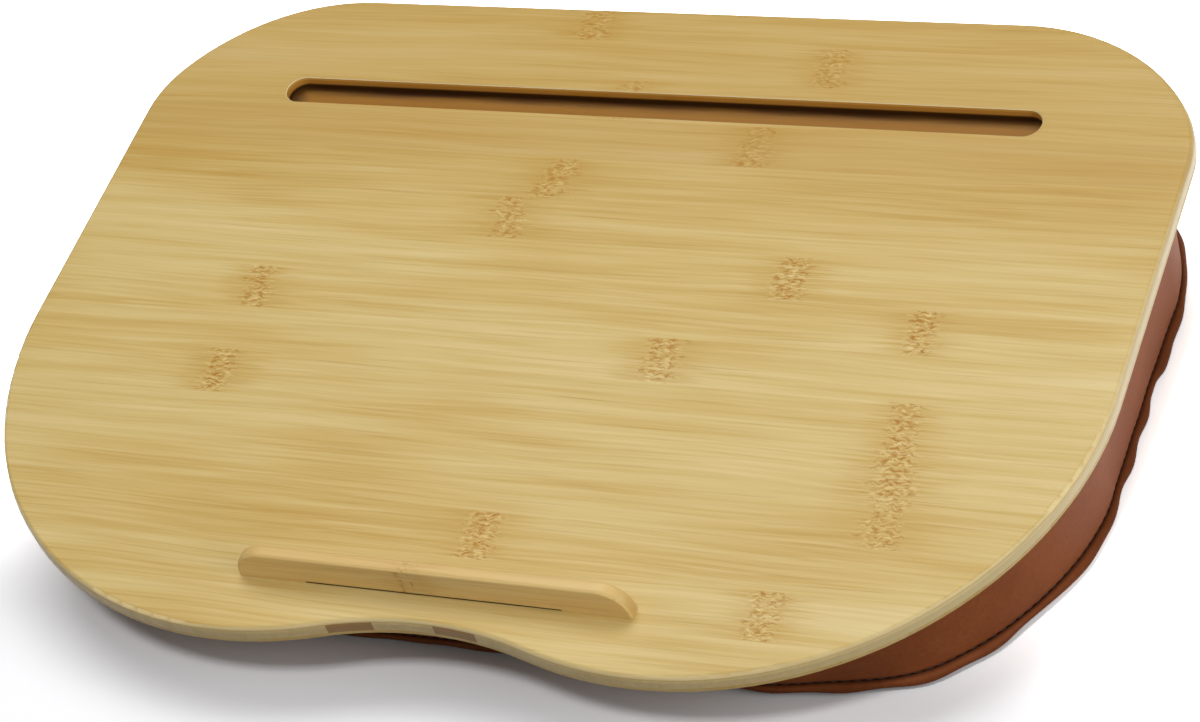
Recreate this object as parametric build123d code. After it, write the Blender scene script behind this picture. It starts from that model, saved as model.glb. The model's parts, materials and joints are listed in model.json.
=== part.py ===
"""Lap tray with a cushion: a bamboo ply tray on a leatherette cushion filled with a foam wedge.

Lengths are in millimetres. The pieces are built in the board's own frame, where z = 0 is the
middle of the tray's top face, x runs to the right and y runs to the back. At the end they are
tilted and lifted, so that the cushion rests on z = 0 and the part is centred on x = 0, y = 0.
"""

import math
import os

from build123d import *

# Board: three plies of bamboo
TRAY_WIDTH = 440.0
TRAY_DEPTH = 317.0
TOP_PLY = 1.5
CORE_PLY = 4.2
BOTTOM_PLY = 1.8
FRONT_CORNER_RADIUS = 138.5
BACK_CORNER_WIDTH = 80.5
BACK_CORNER_DEPTH = 67.5
BACK_CORNER_SIDE_RADIUS = 50.0
WAVE_DEPTH = 12.3
TOP_EDGE_RADIUS = 1.8
EDGE_SLOPE_DEPTH = 2.4
EDGE_SLOPE_INSET = 0.7
BOTTOM_EDGE_CHAMFER = 0.35
CORE_STRIP_WIDTH = 22.0

# Slot for a tablet or a telephone, cut down to the bottom ply
SLOT_LENGTH = 320.0
SLOT_WIDTH = 13.5
SLOT_BACK_MARGIN = 45.5
SLOT_ARRIS = 0.35

# Ledge bar that stops a laptop from sliding off, on two dowels
BAR_LENGTH = 155.0
BAR_HEIGHT = 13.3
BAR_THICKNESS = 5.3
BAR_FRONT_MARGIN = 23.7
BAR_CORNER_RADIUS = 12.0
BAR_EDGE_RADIUS = 1.2
BAR_FOOT_LENGTH = 27.0
BAR_RELIEF = 0.9
DOWEL_DIAMETER = 3.0
DOWEL_IN_BAR = 8.0
DOWEL_IN_BOARD = 5.0
GLUE_GAP = 0.05

# Hook and loop pads between the board and the cushion
PAD_LENGTH = 50.0
PAD_WIDTH = 25.0
PAD_THICKNESS = 0.9
PAD_SPACING_X = 250.0
PAD_SPACING_Y = 160.0

# Cushion cover and its foam wedge
TILT = 7.0
CUSHION_HEIGHT = 47.0
CUSHION_SIDE_MARGIN = 9.0
CUSHION_FRONT_MARGIN = 23.0
CUSHION_BACK_MARGIN = 9.5
CUSHION_FRONT_RADIUS = 100.0
CUSHION_BACK_RADIUS = 78.0
SKIN = 1.0
SIDE_BULGE = 2.0
SIDE_DRAW_IN = 1.5
FRONT_DRAW_IN = 1.2
SEAM_HEIGHT = 5.0
FLOOR_CUT = 0.5
WALL_LEVEL_SHARES = (0.0, 0.25, 0.7, 1.0)

# The crown of the bottom panel, as shares of the seam's height and of the inset of its flat
CROWN_INSET = 30.0
CROWN_HEIGHT_SHARES = (0.36, 0.07)
CROWN_INSET_SHARES = (0.075, 0.24)

# Zip in the back of the cover
ZIP_END_MARGIN = 7.0
TAPE_WIDTH = 11.0
TAPE_THICKNESS = 0.6
TAPE_END = 4.0
TOOTH_PITCH = 3.6
TOOTH_HEIGHT = 2.6
TOOTH_THICKNESS = 2.4
TOOTH_HEAD_WIDTH = 1.9
TOOTH_NECK_WIDTH = 1.2
TOOTH_HEAD_SHARE = 0.4
TOOTH_START_SHARES = (0.25, 0.75)
ROW_GAP = 1.0
STOP_LENGTH = 2.4
SLIT_MARGIN = 0.55
FOAM_MARGIN = 0.4

# Slider and its pull tab
SLIDER_LENGTH = 11.0
SLIDER_PLATE = 1.0
SLIDER_FLANGE = 0.8
SLIDER_NOSE_SHARE = 0.55
SLIDER_TAPER_SHARE = 0.25
SLIDER_CORNER = 1.0
NECK_WIDTH = 0.5
NECK_LENGTH = 3.0
ZIP_GAP = 0.35
BAIL_WIDTH = 1.6
BAIL_WALL = 0.9
PIVOT_DIAMETER = 1.4
PIVOT_GAP = 0.3
PULL_LENGTH = 26.0
PULL_WIDTH = 5.6
PULL_THICKNESS = 1.2
PULL_ARM = 1.3
PULL_HOLE = 2.6
PULL_TIP_RADIUS = 1.8

# Cuts run past the faces that they cross by this much
OVERRUN = 5.0

BOARD_THICKNESS = TOP_PLY + CORE_PLY + BOTTOM_PLY
BOARD_FRONT = -TRAY_DEPTH / 2
BOARD_BACK = TRAY_DEPTH / 2
SLOT_Y = BOARD_BACK - SLOT_BACK_MARGIN - SLOT_WIDTH / 2
BAR_FRONT = BOARD_FRONT + BAR_FRONT_MARGIN
BAR_Y = BAR_FRONT + BAR_THICKNESS / 2
DOWEL_X = BAR_LENGTH / 2 - BAR_FOOT_LENGTH / 2

# Levels under the board, and the cushion's plan
PANEL_TOP = -BOARD_THICKNESS - 2 * PAD_THICKNESS
FLOOR_LEVEL = -BOARD_THICKNESS - CUSHION_HEIGHT
SEAM_LEVEL = FLOOR_LEVEL + SEAM_HEIGHT
CUSHION_HALF_WIDTH = TRAY_WIDTH / 2 - CUSHION_SIDE_MARGIN
CUSHION_FRONT = BOARD_FRONT + CUSHION_FRONT_MARGIN
CUSHION_BACK = BOARD_BACK - CUSHION_BACK_MARGIN

# Places along and across the zip
SEAM_AT_BACK = SEAM_LEVEL - CUSHION_BACK * math.tan(math.radians(TILT))
ZIP_Z = (PANEL_TOP + SEAM_AT_BACK) / 2
ZIP_BAND_HALF = CUSHION_HALF_WIDTH - CUSHION_BACK_RADIUS - ZIP_END_MARGIN
TAPE_HALF = ZIP_BAND_HALF - TAPE_END
TOOTH_COUNT = int((2 * TAPE_HALF - 4 * STOP_LENGTH) / TOOTH_PITCH)
ROW_HALF = TOOTH_COUNT * TOOTH_PITCH / 2
ROW_OUTER = ROW_GAP / 2 + TOOTH_HEIGHT
TAPE_Y = CUSHION_BACK - SKIN - TAPE_THICKNESS / 2
CHANNEL_HALF = TOOTH_THICKNESS / 2 + ZIP_GAP
SLIDER_HALF_WIDTH = ROW_OUTER + ZIP_GAP + SLIDER_FLANGE
SLIT_HALF = SLIDER_HALF_WIDTH + SLIT_MARGIN
SLIDER_TOP = TAPE_Y + CHANNEL_HALF + SLIDER_PLATE
SLIDER_X = -ROW_HALF + SLIDER_LENGTH / 2
ZIP_TRAVEL = 2 * ROW_HALF - SLIDER_LENGTH
PIVOT_RADIUS = PIVOT_DIAMETER / 2
PIVOT_Y = SLIDER_TOP + PIVOT_GAP + max(PIVOT_RADIUS, PULL_THICKNESS / 2)


def block(low, high):
    """Return a box that fills the space between two opposite corners."""
    size = [b - a for a, b in zip(low, high)]
    middle = [(a + b) / 2 for a, b in zip(low, high)]
    return Pos(*middle) * Box(*size)


def oval_corner(centre_x, centre_y):
    """Return both back corners, each a quarter oval made of two arcs that meet smoothly."""
    small = BACK_CORNER_SIDE_RADIUS
    shift = BACK_CORNER_WIDTH - small
    large = (BACK_CORNER_DEPTH ** 2 + shift ** 2 - small ** 2) / (2 * (BACK_CORNER_DEPTH - small))
    drop = large - BACK_CORNER_DEPTH
    turn = math.degrees(math.atan2(drop, shift))
    arcs = []
    for side in (1, -1):
        near_start = 0 if side > 0 else 180 - turn
        far_start = turn if side > 0 else 90
        arcs.append(CenterArc((side * (centre_x + shift), centre_y), small, near_start, turn))
        arcs.append(CenterArc((side * centre_x, centre_y - drop), large, far_start, 90 - turn))
    return arcs


def board_outline():
    """Return the tray's outline: oval back corners, round front corners and a waved front."""
    half = TRAY_WIDTH / 2
    bump = half - FRONT_CORNER_RADIUS
    side_low = BOARD_FRONT + FRONT_CORNER_RADIUS
    side_high = BOARD_BACK - BACK_CORNER_DEPTH
    back_half = half - BACK_CORNER_WIDTH
    run = bump / 2
    rise = WAVE_DEPTH / 2
    wave_radius = (run * run + rise * rise) / (2 * rise)
    turn = math.degrees(math.asin(run / wave_radius))
    wave_centre = (0, BOARD_FRONT + WAVE_DEPTH - wave_radius)
    lines = [
        Line((-back_half, BOARD_BACK), (back_half, BOARD_BACK)),
        CenterArc(wave_centre, wave_radius, 90 - turn, 2 * turn),
    ]
    lines.extend(oval_corner(back_half, side_high))
    for side in (1, -1):
        front_start = -90 if side > 0 else 180
        bump_start = -90 - turn if side > 0 else -90
        lines.append(Line((side * half, side_high), (side * half, side_low)))
        lines.append(CenterArc((side * bump, side_low), FRONT_CORNER_RADIUS, front_start, 90))
        lines.append(CenterArc(
            (side * bump, BOARD_FRONT + wave_radius), wave_radius, bump_start, turn))
    return make_face(Wire(lines))


def board_blank():
    """Return the whole board before it is parted into its plies, with its edges eased.

    The edge slopes in from within the core, and is rounded within the face ply.
    """
    blank = extrude(board_outline(), -BOARD_THICKNESS, dir=(0, 0, 1))
    top = blank.faces().sort_by(Axis.Z)[-1]
    blank = chamfer(top.edges(), EDGE_SLOPE_INSET, EDGE_SLOPE_DEPTH, reference=top)
    top = blank.faces().sort_by(Axis.Z)[-1]
    blank = fillet(top.edges(), TOP_EDGE_RADIUS)
    bottom = blank.faces().sort_by(Axis.Z)[0]
    return chamfer(bottom.edges(), BOTTOM_EDGE_CHAMFER)


def ply(blank, top, thickness):
    """Return the layer of the blank that lies below top."""
    reach = TRAY_WIDTH
    return blank & block((-reach, -reach, top - thickness), (reach, reach, top))


def slot_cut():
    """Return the round-ended slot as a cutter, down to the bottom ply."""
    depth = TOP_PLY + CORE_PLY
    cutter = extrude(SlotOverall(SLOT_LENGTH, SLOT_WIDTH), depth + OVERRUN)
    return Pos(0, SLOT_Y, -depth) * cutter


def dowel_bores():
    """Return the two bores that take the ledge bar's dowels, through bar and board."""
    radius = DOWEL_DIAMETER / 2 + GLUE_GAP
    length = DOWEL_IN_BAR + DOWEL_IN_BOARD + 2 * GLUE_GAP
    middle = (DOWEL_IN_BAR - DOWEL_IN_BOARD) / 2
    return [Pos(side * DOWEL_X, BAR_Y, middle) * Cylinder(radius, length) for side in (-1, 1)]


def make_top_ply(blank, cutters):
    """Return the face ply with the slot's mouth, its arris broken, and the dowel bores."""
    top = ply(blank, 0, TOP_PLY) - cutters[0]
    face = top.faces().sort_by(Axis.Z)[-1]
    top = chamfer(face.inner_wires()[0].edges(), SLOT_ARRIS)
    return top - cutters[1:]


def make_core_strips(blank, cutters):
    """Return the core: strips laid from front to back, side by side, parted by the slot."""
    core = ply(blank, -TOP_PLY, CORE_PLY) - cutters
    count = math.ceil(TRAY_WIDTH / CORE_STRIP_WIDTH)
    start = -count * CORE_STRIP_WIDTH / 2
    strips = []
    for index in range(count):
        left = start + index * CORE_STRIP_WIDTH
        low = (left, -TRAY_DEPTH, -BOARD_THICKNESS)
        high = (left + CORE_STRIP_WIDTH, TRAY_DEPTH, 0)
        strips.extend((core & block(low, high)).solids())
    return strips


def make_bottom_ply(blank):
    """Return the back ply, which is the floor of the slot."""
    return ply(blank, -TOP_PLY - CORE_PLY, BOTTOM_PLY)


def make_ledge_bar(bores):
    """Return the ledge bar: round top corners and two feet with a relief between them."""
    half = BAR_LENGTH / 2
    outline = Pos(0, BAR_HEIGHT / 2) * Rectangle(BAR_LENGTH, BAR_HEIGHT)
    top_corners = outline.vertices().group_by(Axis.Y)[-1]
    outline = fillet(top_corners, BAR_CORNER_RADIUS)
    relief_width = BAR_LENGTH - 2 * BAR_FOOT_LENGTH
    outline -= Pos(0, BAR_RELIEF / 2) * Rectangle(relief_width, BAR_RELIEF)
    bar = Pos(0, BAR_FRONT + BAR_THICKNESS, 0) * Rot(90, 0, 0) * extrude(outline, BAR_THICKNESS)
    rims = bar.faces().filter_by(Axis.Y).edges()
    rims = [e for e in rims if e.center().Z > BAR_HEIGHT / 2 or e.geom_type == GeomType.CIRCLE]
    bar = fillet(rims, BAR_EDGE_RADIUS)
    return bar - bores


def make_dowels():
    """Return the two dowels that hold the ledge bar on the board."""
    dowel = Cylinder(DOWEL_DIAMETER / 2, DOWEL_IN_BAR + DOWEL_IN_BOARD)
    middle = (DOWEL_IN_BAR - DOWEL_IN_BOARD) / 2
    return [Pos(side * DOWEL_X, BAR_Y, middle) * dowel for side in (-1, 1)]


def make_pads(top):
    """Return four pads, cut square from flat tape, whose upper faces lie at the given level."""
    pad = Box(PAD_LENGTH, PAD_WIDTH, PAD_THICKNESS)
    spots = GridLocations(PAD_SPACING_X, PAD_SPACING_Y, 2, 2)
    return [Pos(0, 0, top - PAD_THICKNESS / 2) * spot * pad for spot in spots]


def cushion_plan(level, tilt, inset, bulge):
    """Return the cushion's plan as a face, in a plane that is tilted about the x axis.

    The sides and the front are drawn in between the corners, and the back, which holds the
    zip, is straight. A tilted plan is as much longer as keeps its back on the same wall.
    """
    lean = math.cos(math.radians(tilt))
    half = CUSHION_HALF_WIDTH - inset + bulge
    front = (CUSHION_FRONT + inset - bulge) / lean
    back = (CUSHION_BACK - inset) / lean
    front_radius = CUSHION_FRONT_RADIUS - inset
    back_radius = CUSHION_BACK_RADIUS - inset
    side_middle = (front + front_radius + back - back_radius) / 2
    lines = [
        Line((half - back_radius, back), (back_radius - half, back)),
        ThreePointArc(
            (front_radius - half, front),
            (0, front + FRONT_DRAW_IN),
            (half - front_radius, front)),
    ]
    for side in (-1, 1):
        front_start = 180 if side < 0 else -90
        back_start = 90 if side < 0 else 0
        lines.append(CenterArc(
            (side * (half - back_radius), back - back_radius), back_radius, back_start, 90))
        lines.append(ThreePointArc(
            (side * half, back - back_radius),
            (side * (half - SIDE_DRAW_IN), side_middle),
            (side * half, front + front_radius)))
        lines.append(CenterArc(
            (side * (half - front_radius), front + front_radius),
            front_radius, front_start, 90))
    normal = (0, math.sin(math.radians(tilt)), math.cos(math.radians(tilt)))
    return Plane(origin=(0, 0, level), x_dir=(1, 0, 0), z_dir=normal) * make_face(Wire(lines))


def above_floor(level):
    """Return the half space above a plane that is parallel to the floor, as a large block."""
    reach = TRAY_WIDTH
    plane = Plane(
        origin=(0, 0, level), x_dir=(1, 0, 0),
        z_dir=(0, math.sin(math.radians(TILT)), math.cos(math.radians(TILT))))
    return plane * block((-reach, -reach, 0), (reach, reach, reach))


def cushion_walls(inset):
    """Return the cushion's body between its top plane and the seam, bulged at half height.

    The plans fan out from the board's plane to the floor's, and the bulge is a parabola.
    """
    plans = []
    for share in WALL_LEVEL_SHARES:
        level = PANEL_TOP + (SEAM_LEVEL - PANEL_TOP) * share
        bulge = SIDE_BULGE * (1 - (2 * share - 1) ** 2)
        plans.append(cushion_plan(level, TILT * share, inset, bulge))
    return loft(plans, ruled=True)


def cushion_crown(inset):
    """Return the crown under the seam, cut flat where the cushion rests on the floor."""
    drop = math.cos(math.radians(TILT))
    sections = [cushion_plan(SEAM_LEVEL, TILT, inset, 0)]
    for height_share, inset_share in zip(CROWN_HEIGHT_SHARES, CROWN_INSET_SHARES):
        height = inset + (SEAM_HEIGHT - inset) * height_share
        sections.append(cushion_plan(
            FLOOR_LEVEL + height / drop, TILT, inset + CROWN_INSET * inset_share, 0))
    lowest = FLOOR_LEVEL + (inset - FLOOR_CUT) / drop
    sections.append(cushion_plan(lowest, TILT, inset + CROWN_INSET, 0))
    return loft(sections, ruled=True) & above_floor(FLOOR_LEVEL + inset / drop)


def make_cushion():
    """Return the cover's panels and bands and the foam wedge, as a dictionary of nodes."""
    outer = cushion_walls(0)
    inner = cushion_walls(SKIN)
    reach = TRAY_WIDTH
    top_slab = block((-reach, -reach, PANEL_TOP - SKIN), (reach, reach, PANEL_TOP + OVERRUN))
    band = outer - top_slab - inner
    low_half = (-ZIP_BAND_HALF, CUSHION_BACK - SKIN - OVERRUN, -reach)
    back = block(low_half, (ZIP_BAND_HALF, reach, ZIP_Z))
    back_top = block((low_half[0], low_half[1], ZIP_Z), (ZIP_BAND_HALF, reach, reach))
    slit = block(
        (-reach, CUSHION_BACK - SKIN - OVERRUN, ZIP_Z - SLIT_HALF),
        (reach, reach, ZIP_Z + SLIT_HALF))
    tape_half_height = ROW_OUTER + TAPE_WIDTH + FOAM_MARGIN
    tape_channel = block(
        (-ZIP_BAND_HALF, TAPE_Y - TAPE_THICKNESS / 2 - FOAM_MARGIN, ZIP_Z - tape_half_height),
        (ZIP_BAND_HALF, reach, ZIP_Z + tape_half_height))
    slider_back = TAPE_Y - CHANNEL_HALF - SLIDER_PLATE
    slider_channel = block(
        (-ZIP_BAND_HALF, slider_back - SLIT_MARGIN, ZIP_Z - SLIT_HALF),
        (ZIP_BAND_HALF, reach, ZIP_Z + SLIT_HALF))
    crown_inside = cushion_crown(SKIN)
    foam = (inner - top_slab) + crown_inside
    return {
        "cushion_top_panel": outer & top_slab,
        "side_band": band - back - back_top,
        "zip_band_upper": (band & back_top) - slit,
        "zip_band_lower": (band & back) - slit,
        "cushion_bottom_panel": cushion_crown(0) - crown_inside,
        "foam_wedge": foam - tape_channel - slider_channel,
    }


def make_tape(side):
    """Return one zip tape, from the teeth's outer ends to under the cover's band."""
    low = ZIP_Z + side * ROW_OUTER
    high = low + side * TAPE_WIDTH
    return block(
        (-TAPE_HALF, TAPE_Y - TAPE_THICKNESS / 2, min(low, high)),
        (TAPE_HALF, TAPE_Y + TAPE_THICKNESS / 2, max(low, high)))


def make_teeth(side):
    """Return one row of moulded teeth, set half a pitch from the other row."""
    root = ROW_OUTER
    tip = ROW_GAP / 2
    shoulder = tip + TOOTH_HEIGHT * TOOTH_HEAD_SHARE
    head = TOOTH_HEAD_WIDTH / 2
    neck = TOOTH_NECK_WIDTH / 2
    outline = Polyline(
        (-neck, root), (-neck, shoulder), (-head, tip),
        (head, tip), (neck, shoulder), (neck, root), close=True)
    profile = make_face(outline) if side > 0 else mirror(make_face(outline), Plane.XZ)
    tooth = Rot(90, 0, 0) * extrude(profile, TOOTH_THICKNESS / 2, both=True)
    start = TOOTH_PITCH * TOOTH_START_SHARES[0 if side > 0 else 1] - ROW_HALF
    return [Pos(start + i * TOOTH_PITCH, TAPE_Y, ZIP_Z) * tooth for i in range(TOOTH_COUNT)]


def make_stops():
    """Return the two closing-end stops and the box that joins the rows at the open end."""
    half = TOOTH_THICKNESS / 2
    stops = []
    for side in (-1, 1):
        inner = ZIP_Z + side * ROW_GAP / 2
        outer = ZIP_Z + side * ROW_OUTER
        stops.append(block(
            (-ROW_HALF - STOP_LENGTH, TAPE_Y - half, min(inner, outer)),
            (-ROW_HALF, TAPE_Y + half, max(inner, outer))))
    stops.append(block(
        (ROW_HALF, TAPE_Y - half, ZIP_Z - ROW_OUTER),
        (ROW_HALF + STOP_LENGTH, TAPE_Y + half, ZIP_Z + ROW_OUTER)))
    return stops


def make_slider():
    """Return the zip slider: two plates on a neck, four flanges, and the bail for the pull.

    It is modelled about its own middle: x along the zip, y out of the cushion, z across it.
    """
    half = SLIDER_LENGTH / 2
    nose = SLIDER_HALF_WIDTH * SLIDER_NOSE_SHARE
    shoulder = half - SLIDER_LENGTH * SLIDER_TAPER_SHARE
    outline = make_face(Polyline(
        (half, -SLIDER_HALF_WIDTH), (half, SLIDER_HALF_WIDTH), (-shoulder, SLIDER_HALF_WIDTH),
        (-half, nose), (-half, -nose), (-shoulder, -SLIDER_HALF_WIDTH), close=True))
    outline = fillet(outline.vertices(), SLIDER_CORNER)
    plate = Rot(90, 0, 0) * extrude(outline, SLIDER_PLATE / 2, both=True)
    slider = Pos(0, CHANNEL_HALF + SLIDER_PLATE / 2, 0) * plate
    slider += Pos(0, -CHANNEL_HALF - SLIDER_PLATE / 2, 0) * plate
    rail = SLIDER_HALF_WIDTH - SLIDER_FLANGE
    lip = TAPE_THICKNESS / 2 + ZIP_GAP
    for side in (-1, 1):
        for face in (-1, 1):
            edges = sorted((side * rail, side * SLIDER_HALF_WIDTH))
            depths = sorted((face * lip, face * (CHANNEL_HALF + SLIDER_PLATE / 2)))
            slider += block(
                (-shoulder + SLIDER_CORNER, depths[0], edges[0]),
                (half - SLIDER_CORNER, depths[1], edges[1]))
    reach = CHANNEL_HALF + SLIDER_PLATE / 2
    slider += Pos(NECK_LENGTH / 2 - half, 0, 0) * Box(NECK_LENGTH, 2 * reach, NECK_WIDTH)
    return slider + make_bail()


def make_bail():
    """Return the arched bail on the slider, with the eye that the pull turns in."""
    eye = PIVOT_RADIUS + PIVOT_GAP
    outer = eye + BAIL_WALL
    foot = CHANNEL_HALF + SLIDER_PLATE / 2
    pivot = PIVOT_Y - TAPE_Y
    arch = Pos(0, pivot) * Circle(outer)
    arch += Pos(0, (pivot + foot) / 2) * Rectangle(2 * outer, pivot - foot)
    hole = Pos(0, pivot) * Circle(eye)
    hole += Pos(0, (pivot + SLIDER_TOP - TAPE_Y) / 2) * Rectangle(
        2 * eye, pivot - SLIDER_TOP + TAPE_Y)
    return extrude(arch - hole, BAIL_WIDTH / 2, both=True)


def make_pull():
    """Return the pull tab: a flat tongue whose end bar turns in the slider's bail."""
    clear = PIVOT_RADIUS + PIVOT_GAP + BAIL_WALL + PIVOT_GAP
    half = PULL_WIDTH / 2
    arm_inner = half - PULL_ARM
    tongue = Pos(PULL_LENGTH / 2, 0) * Rectangle(PULL_LENGTH, PULL_WIDTH)
    tips = tongue.vertices().group_by(Axis.X)[-1]
    tongue = fillet(tips, PULL_TIP_RADIUS)
    window = Pos(clear / 2, 0) * Rectangle(clear, 2 * arm_inner)
    hole = Pos(PULL_LENGTH - half, 0) * Circle(PULL_HOLE / 2)
    tab = extrude(tongue - window - hole, PULL_THICKNESS / 2, both=True)
    bar = Cylinder(PIVOT_RADIUS, PULL_WIDTH)
    return (Rot(90, 0, 0) * tab) + bar


def place(shapes, tilt_home):
    """Return the shapes tilted and moved to where they stand, as one compound or solid."""
    placed = [tilt_home * shape for shape in shapes]
    solids = [solid for shape in placed for solid in shape.solids()]
    return solids[0] if len(solids) == 1 else Compound(children=solids)


def build_nodes():
    """Return every node's shapes in the board's frame, as a dictionary of lists."""
    blank = board_blank()
    bores = dowel_bores()
    cutters = [slot_cut()] + bores
    zip_home = Pos(SLIDER_X, TAPE_Y, ZIP_Z)
    pull_home = Pos(SLIDER_X, PIVOT_Y, ZIP_Z)
    nodes = {
        "top_ply": [make_top_ply(blank, cutters)],
        "core_strips": make_core_strips(blank, cutters),
        "bottom_ply": [make_bottom_ply(blank)],
        "ledge_bar": [make_ledge_bar(bores)],
        "ledge_dowels": make_dowels(),
        "hook_pads": make_pads(-BOARD_THICKNESS),
        "loop_pads": make_pads(-BOARD_THICKNESS - PAD_THICKNESS),
        "zip_tape_upper": [make_tape(1)],
        "zip_tape_lower": [make_tape(-1)],
        "zip_teeth_upper": make_teeth(1),
        "zip_teeth_lower": make_teeth(-1),
        "zip_stops": make_stops(),
        "zip_slider": [zip_home * make_slider()],
        "zip_pull": [pull_home * make_pull()],
    }
    for name, shape in make_cushion().items():
        nodes[name] = [shape]
    return nodes


def main():
    """Build, place and write every node."""
    nodes = build_nodes()
    lift = -FLOOR_LEVEL * math.cos(math.radians(TILT))
    upright = Pos(0, 0, lift) * Rot(TILT, 0, 0)
    spans = [(upright * shape).bounding_box() for shapes in nodes.values() for shape in shapes]
    low = min(span.min.Y for span in spans)
    high = max(span.max.Y for span in spans)
    home = Pos(0, -(low + high) / 2, 0) * upright
    os.makedirs("parts", exist_ok=True)
    for name, shapes in nodes.items():
        export_step(place(shapes, home), f"parts/{name}.step")
    print("board frame origin, y and z:", home.position.Y, home.position.Z)
    print("zip travel:", ZIP_TRAVEL, "slider x:", SLIDER_X, "teeth in a row:", TOOTH_COUNT)


main()
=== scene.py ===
"""Looks of a lap tray on its cushion: a bamboo ply board on a leatherette cushion with a zip.

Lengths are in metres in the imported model's frame. Names that end in _mm are in millimetres, and
so are the coordinates that the materials read. The board's own axes are x to the right, y to
the back and z off its top face, from the middle of that face.
"""

import json
import logging
import math
from collections.abc import Sequence
from dataclasses import dataclass, field
from enum import Enum

import bpy
import numpy as np
from mathutils import Matrix, Quaternion, Vector
from mathutils.kdtree import KDTree


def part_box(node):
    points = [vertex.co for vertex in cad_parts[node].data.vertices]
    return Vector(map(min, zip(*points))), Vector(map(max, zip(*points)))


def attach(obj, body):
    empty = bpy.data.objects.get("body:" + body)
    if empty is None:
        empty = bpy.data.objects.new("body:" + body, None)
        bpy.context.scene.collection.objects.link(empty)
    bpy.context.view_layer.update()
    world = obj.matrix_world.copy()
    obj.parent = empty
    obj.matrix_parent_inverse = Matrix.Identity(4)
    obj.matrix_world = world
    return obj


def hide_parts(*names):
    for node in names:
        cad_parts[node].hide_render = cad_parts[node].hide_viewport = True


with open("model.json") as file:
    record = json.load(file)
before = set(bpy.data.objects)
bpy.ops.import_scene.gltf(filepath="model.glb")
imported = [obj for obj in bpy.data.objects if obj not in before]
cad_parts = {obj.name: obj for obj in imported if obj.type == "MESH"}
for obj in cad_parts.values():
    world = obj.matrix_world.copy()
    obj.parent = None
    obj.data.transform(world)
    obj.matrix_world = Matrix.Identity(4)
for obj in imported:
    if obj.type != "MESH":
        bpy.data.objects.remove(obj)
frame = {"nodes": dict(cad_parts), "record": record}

LOG = logging.getLogger("lap_tray")
MM = 0.001


def display(red: int, green: int, blue: int) -> tuple[float, float, float, float]:
    """Return a colour as a screen shows it, 0 to 255, as linear light.

    Args:
        red: Red part of the shown colour.
        green: Green part of the shown colour.
        blue: Blue part of the shown colour.

    Returns:
        Linear red, green and blue, and an alpha of 1.
    """
    parts = [value / 255 for value in (red, green, blue)]
    light = [p / 12.92 if p <= 0.04045 else ((p + 0.055) / 1.055) ** 2.4 for p in parts]
    return (*light, 1.0)


Colour = tuple[float, float, float, float]
Value = bpy.types.NodeSocket | float | Sequence[float]


def darker(colour: Colour, share: float) -> Colour:
    """Return a share of a colour's light."""
    return (*(part * share for part in colour[:3]), 1.0)


class Fibre(Enum):
    """The board axis that the bamboo's fibres run along."""

    SIDEWAYS = "x"
    BACKWARDS = "y"


@dataclass(frozen=True)
class BoardPlane:
    """The tray's own axes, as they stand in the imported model.

    Attributes:
        origin: Middle of the board's top face.
        tilt: Angle by which the board rises towards the back.
    """

    origin: Vector
    tilt: float

    @classmethod
    def from_record(cls, record: dict) -> "BoardPlane":
        """Return the plane that the record's work surface states."""
        mount = next(m for m in record["mounts"] if m["name"] == "work_surface")
        axis = Vector(mount["axis"])
        return cls(Vector(mount["pos_m"]), math.atan2(-axis.y, axis.z))

    @property
    def matrix(self) -> np.ndarray:
        """The 3 by 3 turn from the board's axes to the model's."""
        return np.array(Matrix.Rotation(self.tilt, 3, "X"))

    def to_model(self, points: np.ndarray) -> np.ndarray:
        """Return points given on the board's axes as they stand in the model."""
        return points @ self.matrix.T + np.array(self.origin)

    def to_board(self, points: np.ndarray) -> np.ndarray:
        """Return points of the model on the board's axes."""
        return (points - np.array(self.origin)) @ self.matrix

    def extent(self, node: str) -> tuple[np.ndarray, np.ndarray]:
        """Return a CAD node's lowest and highest corner on the board's axes."""
        points = self.to_board(mesh_points(frame["nodes"][node].data))
        return points.min(0), points.max(0)


def mesh_points(mesh: bpy.types.Mesh) -> np.ndarray:
    """Return a mesh's points as rows of an array."""
    flat = np.zeros(len(mesh.vertices) * 3)
    mesh.vertices.foreach_get("co", flat)
    return flat.reshape(-1, 3)


def set_mesh_points(mesh: bpy.types.Mesh, points: np.ndarray) -> None:
    """Move a mesh's points to the rows of an array."""
    mesh.vertices.foreach_set("co", np.ascontiguousarray(points).ravel())
    mesh.update()


def smoothstep(values: np.ndarray, low: float, high: float) -> np.ndarray:
    """Return 0 below low and 1 above high, with a smooth rise between them."""
    share = np.clip((values - low) / (high - low), 0, 1)
    return share * share * (3 - 2 * share)


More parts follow.
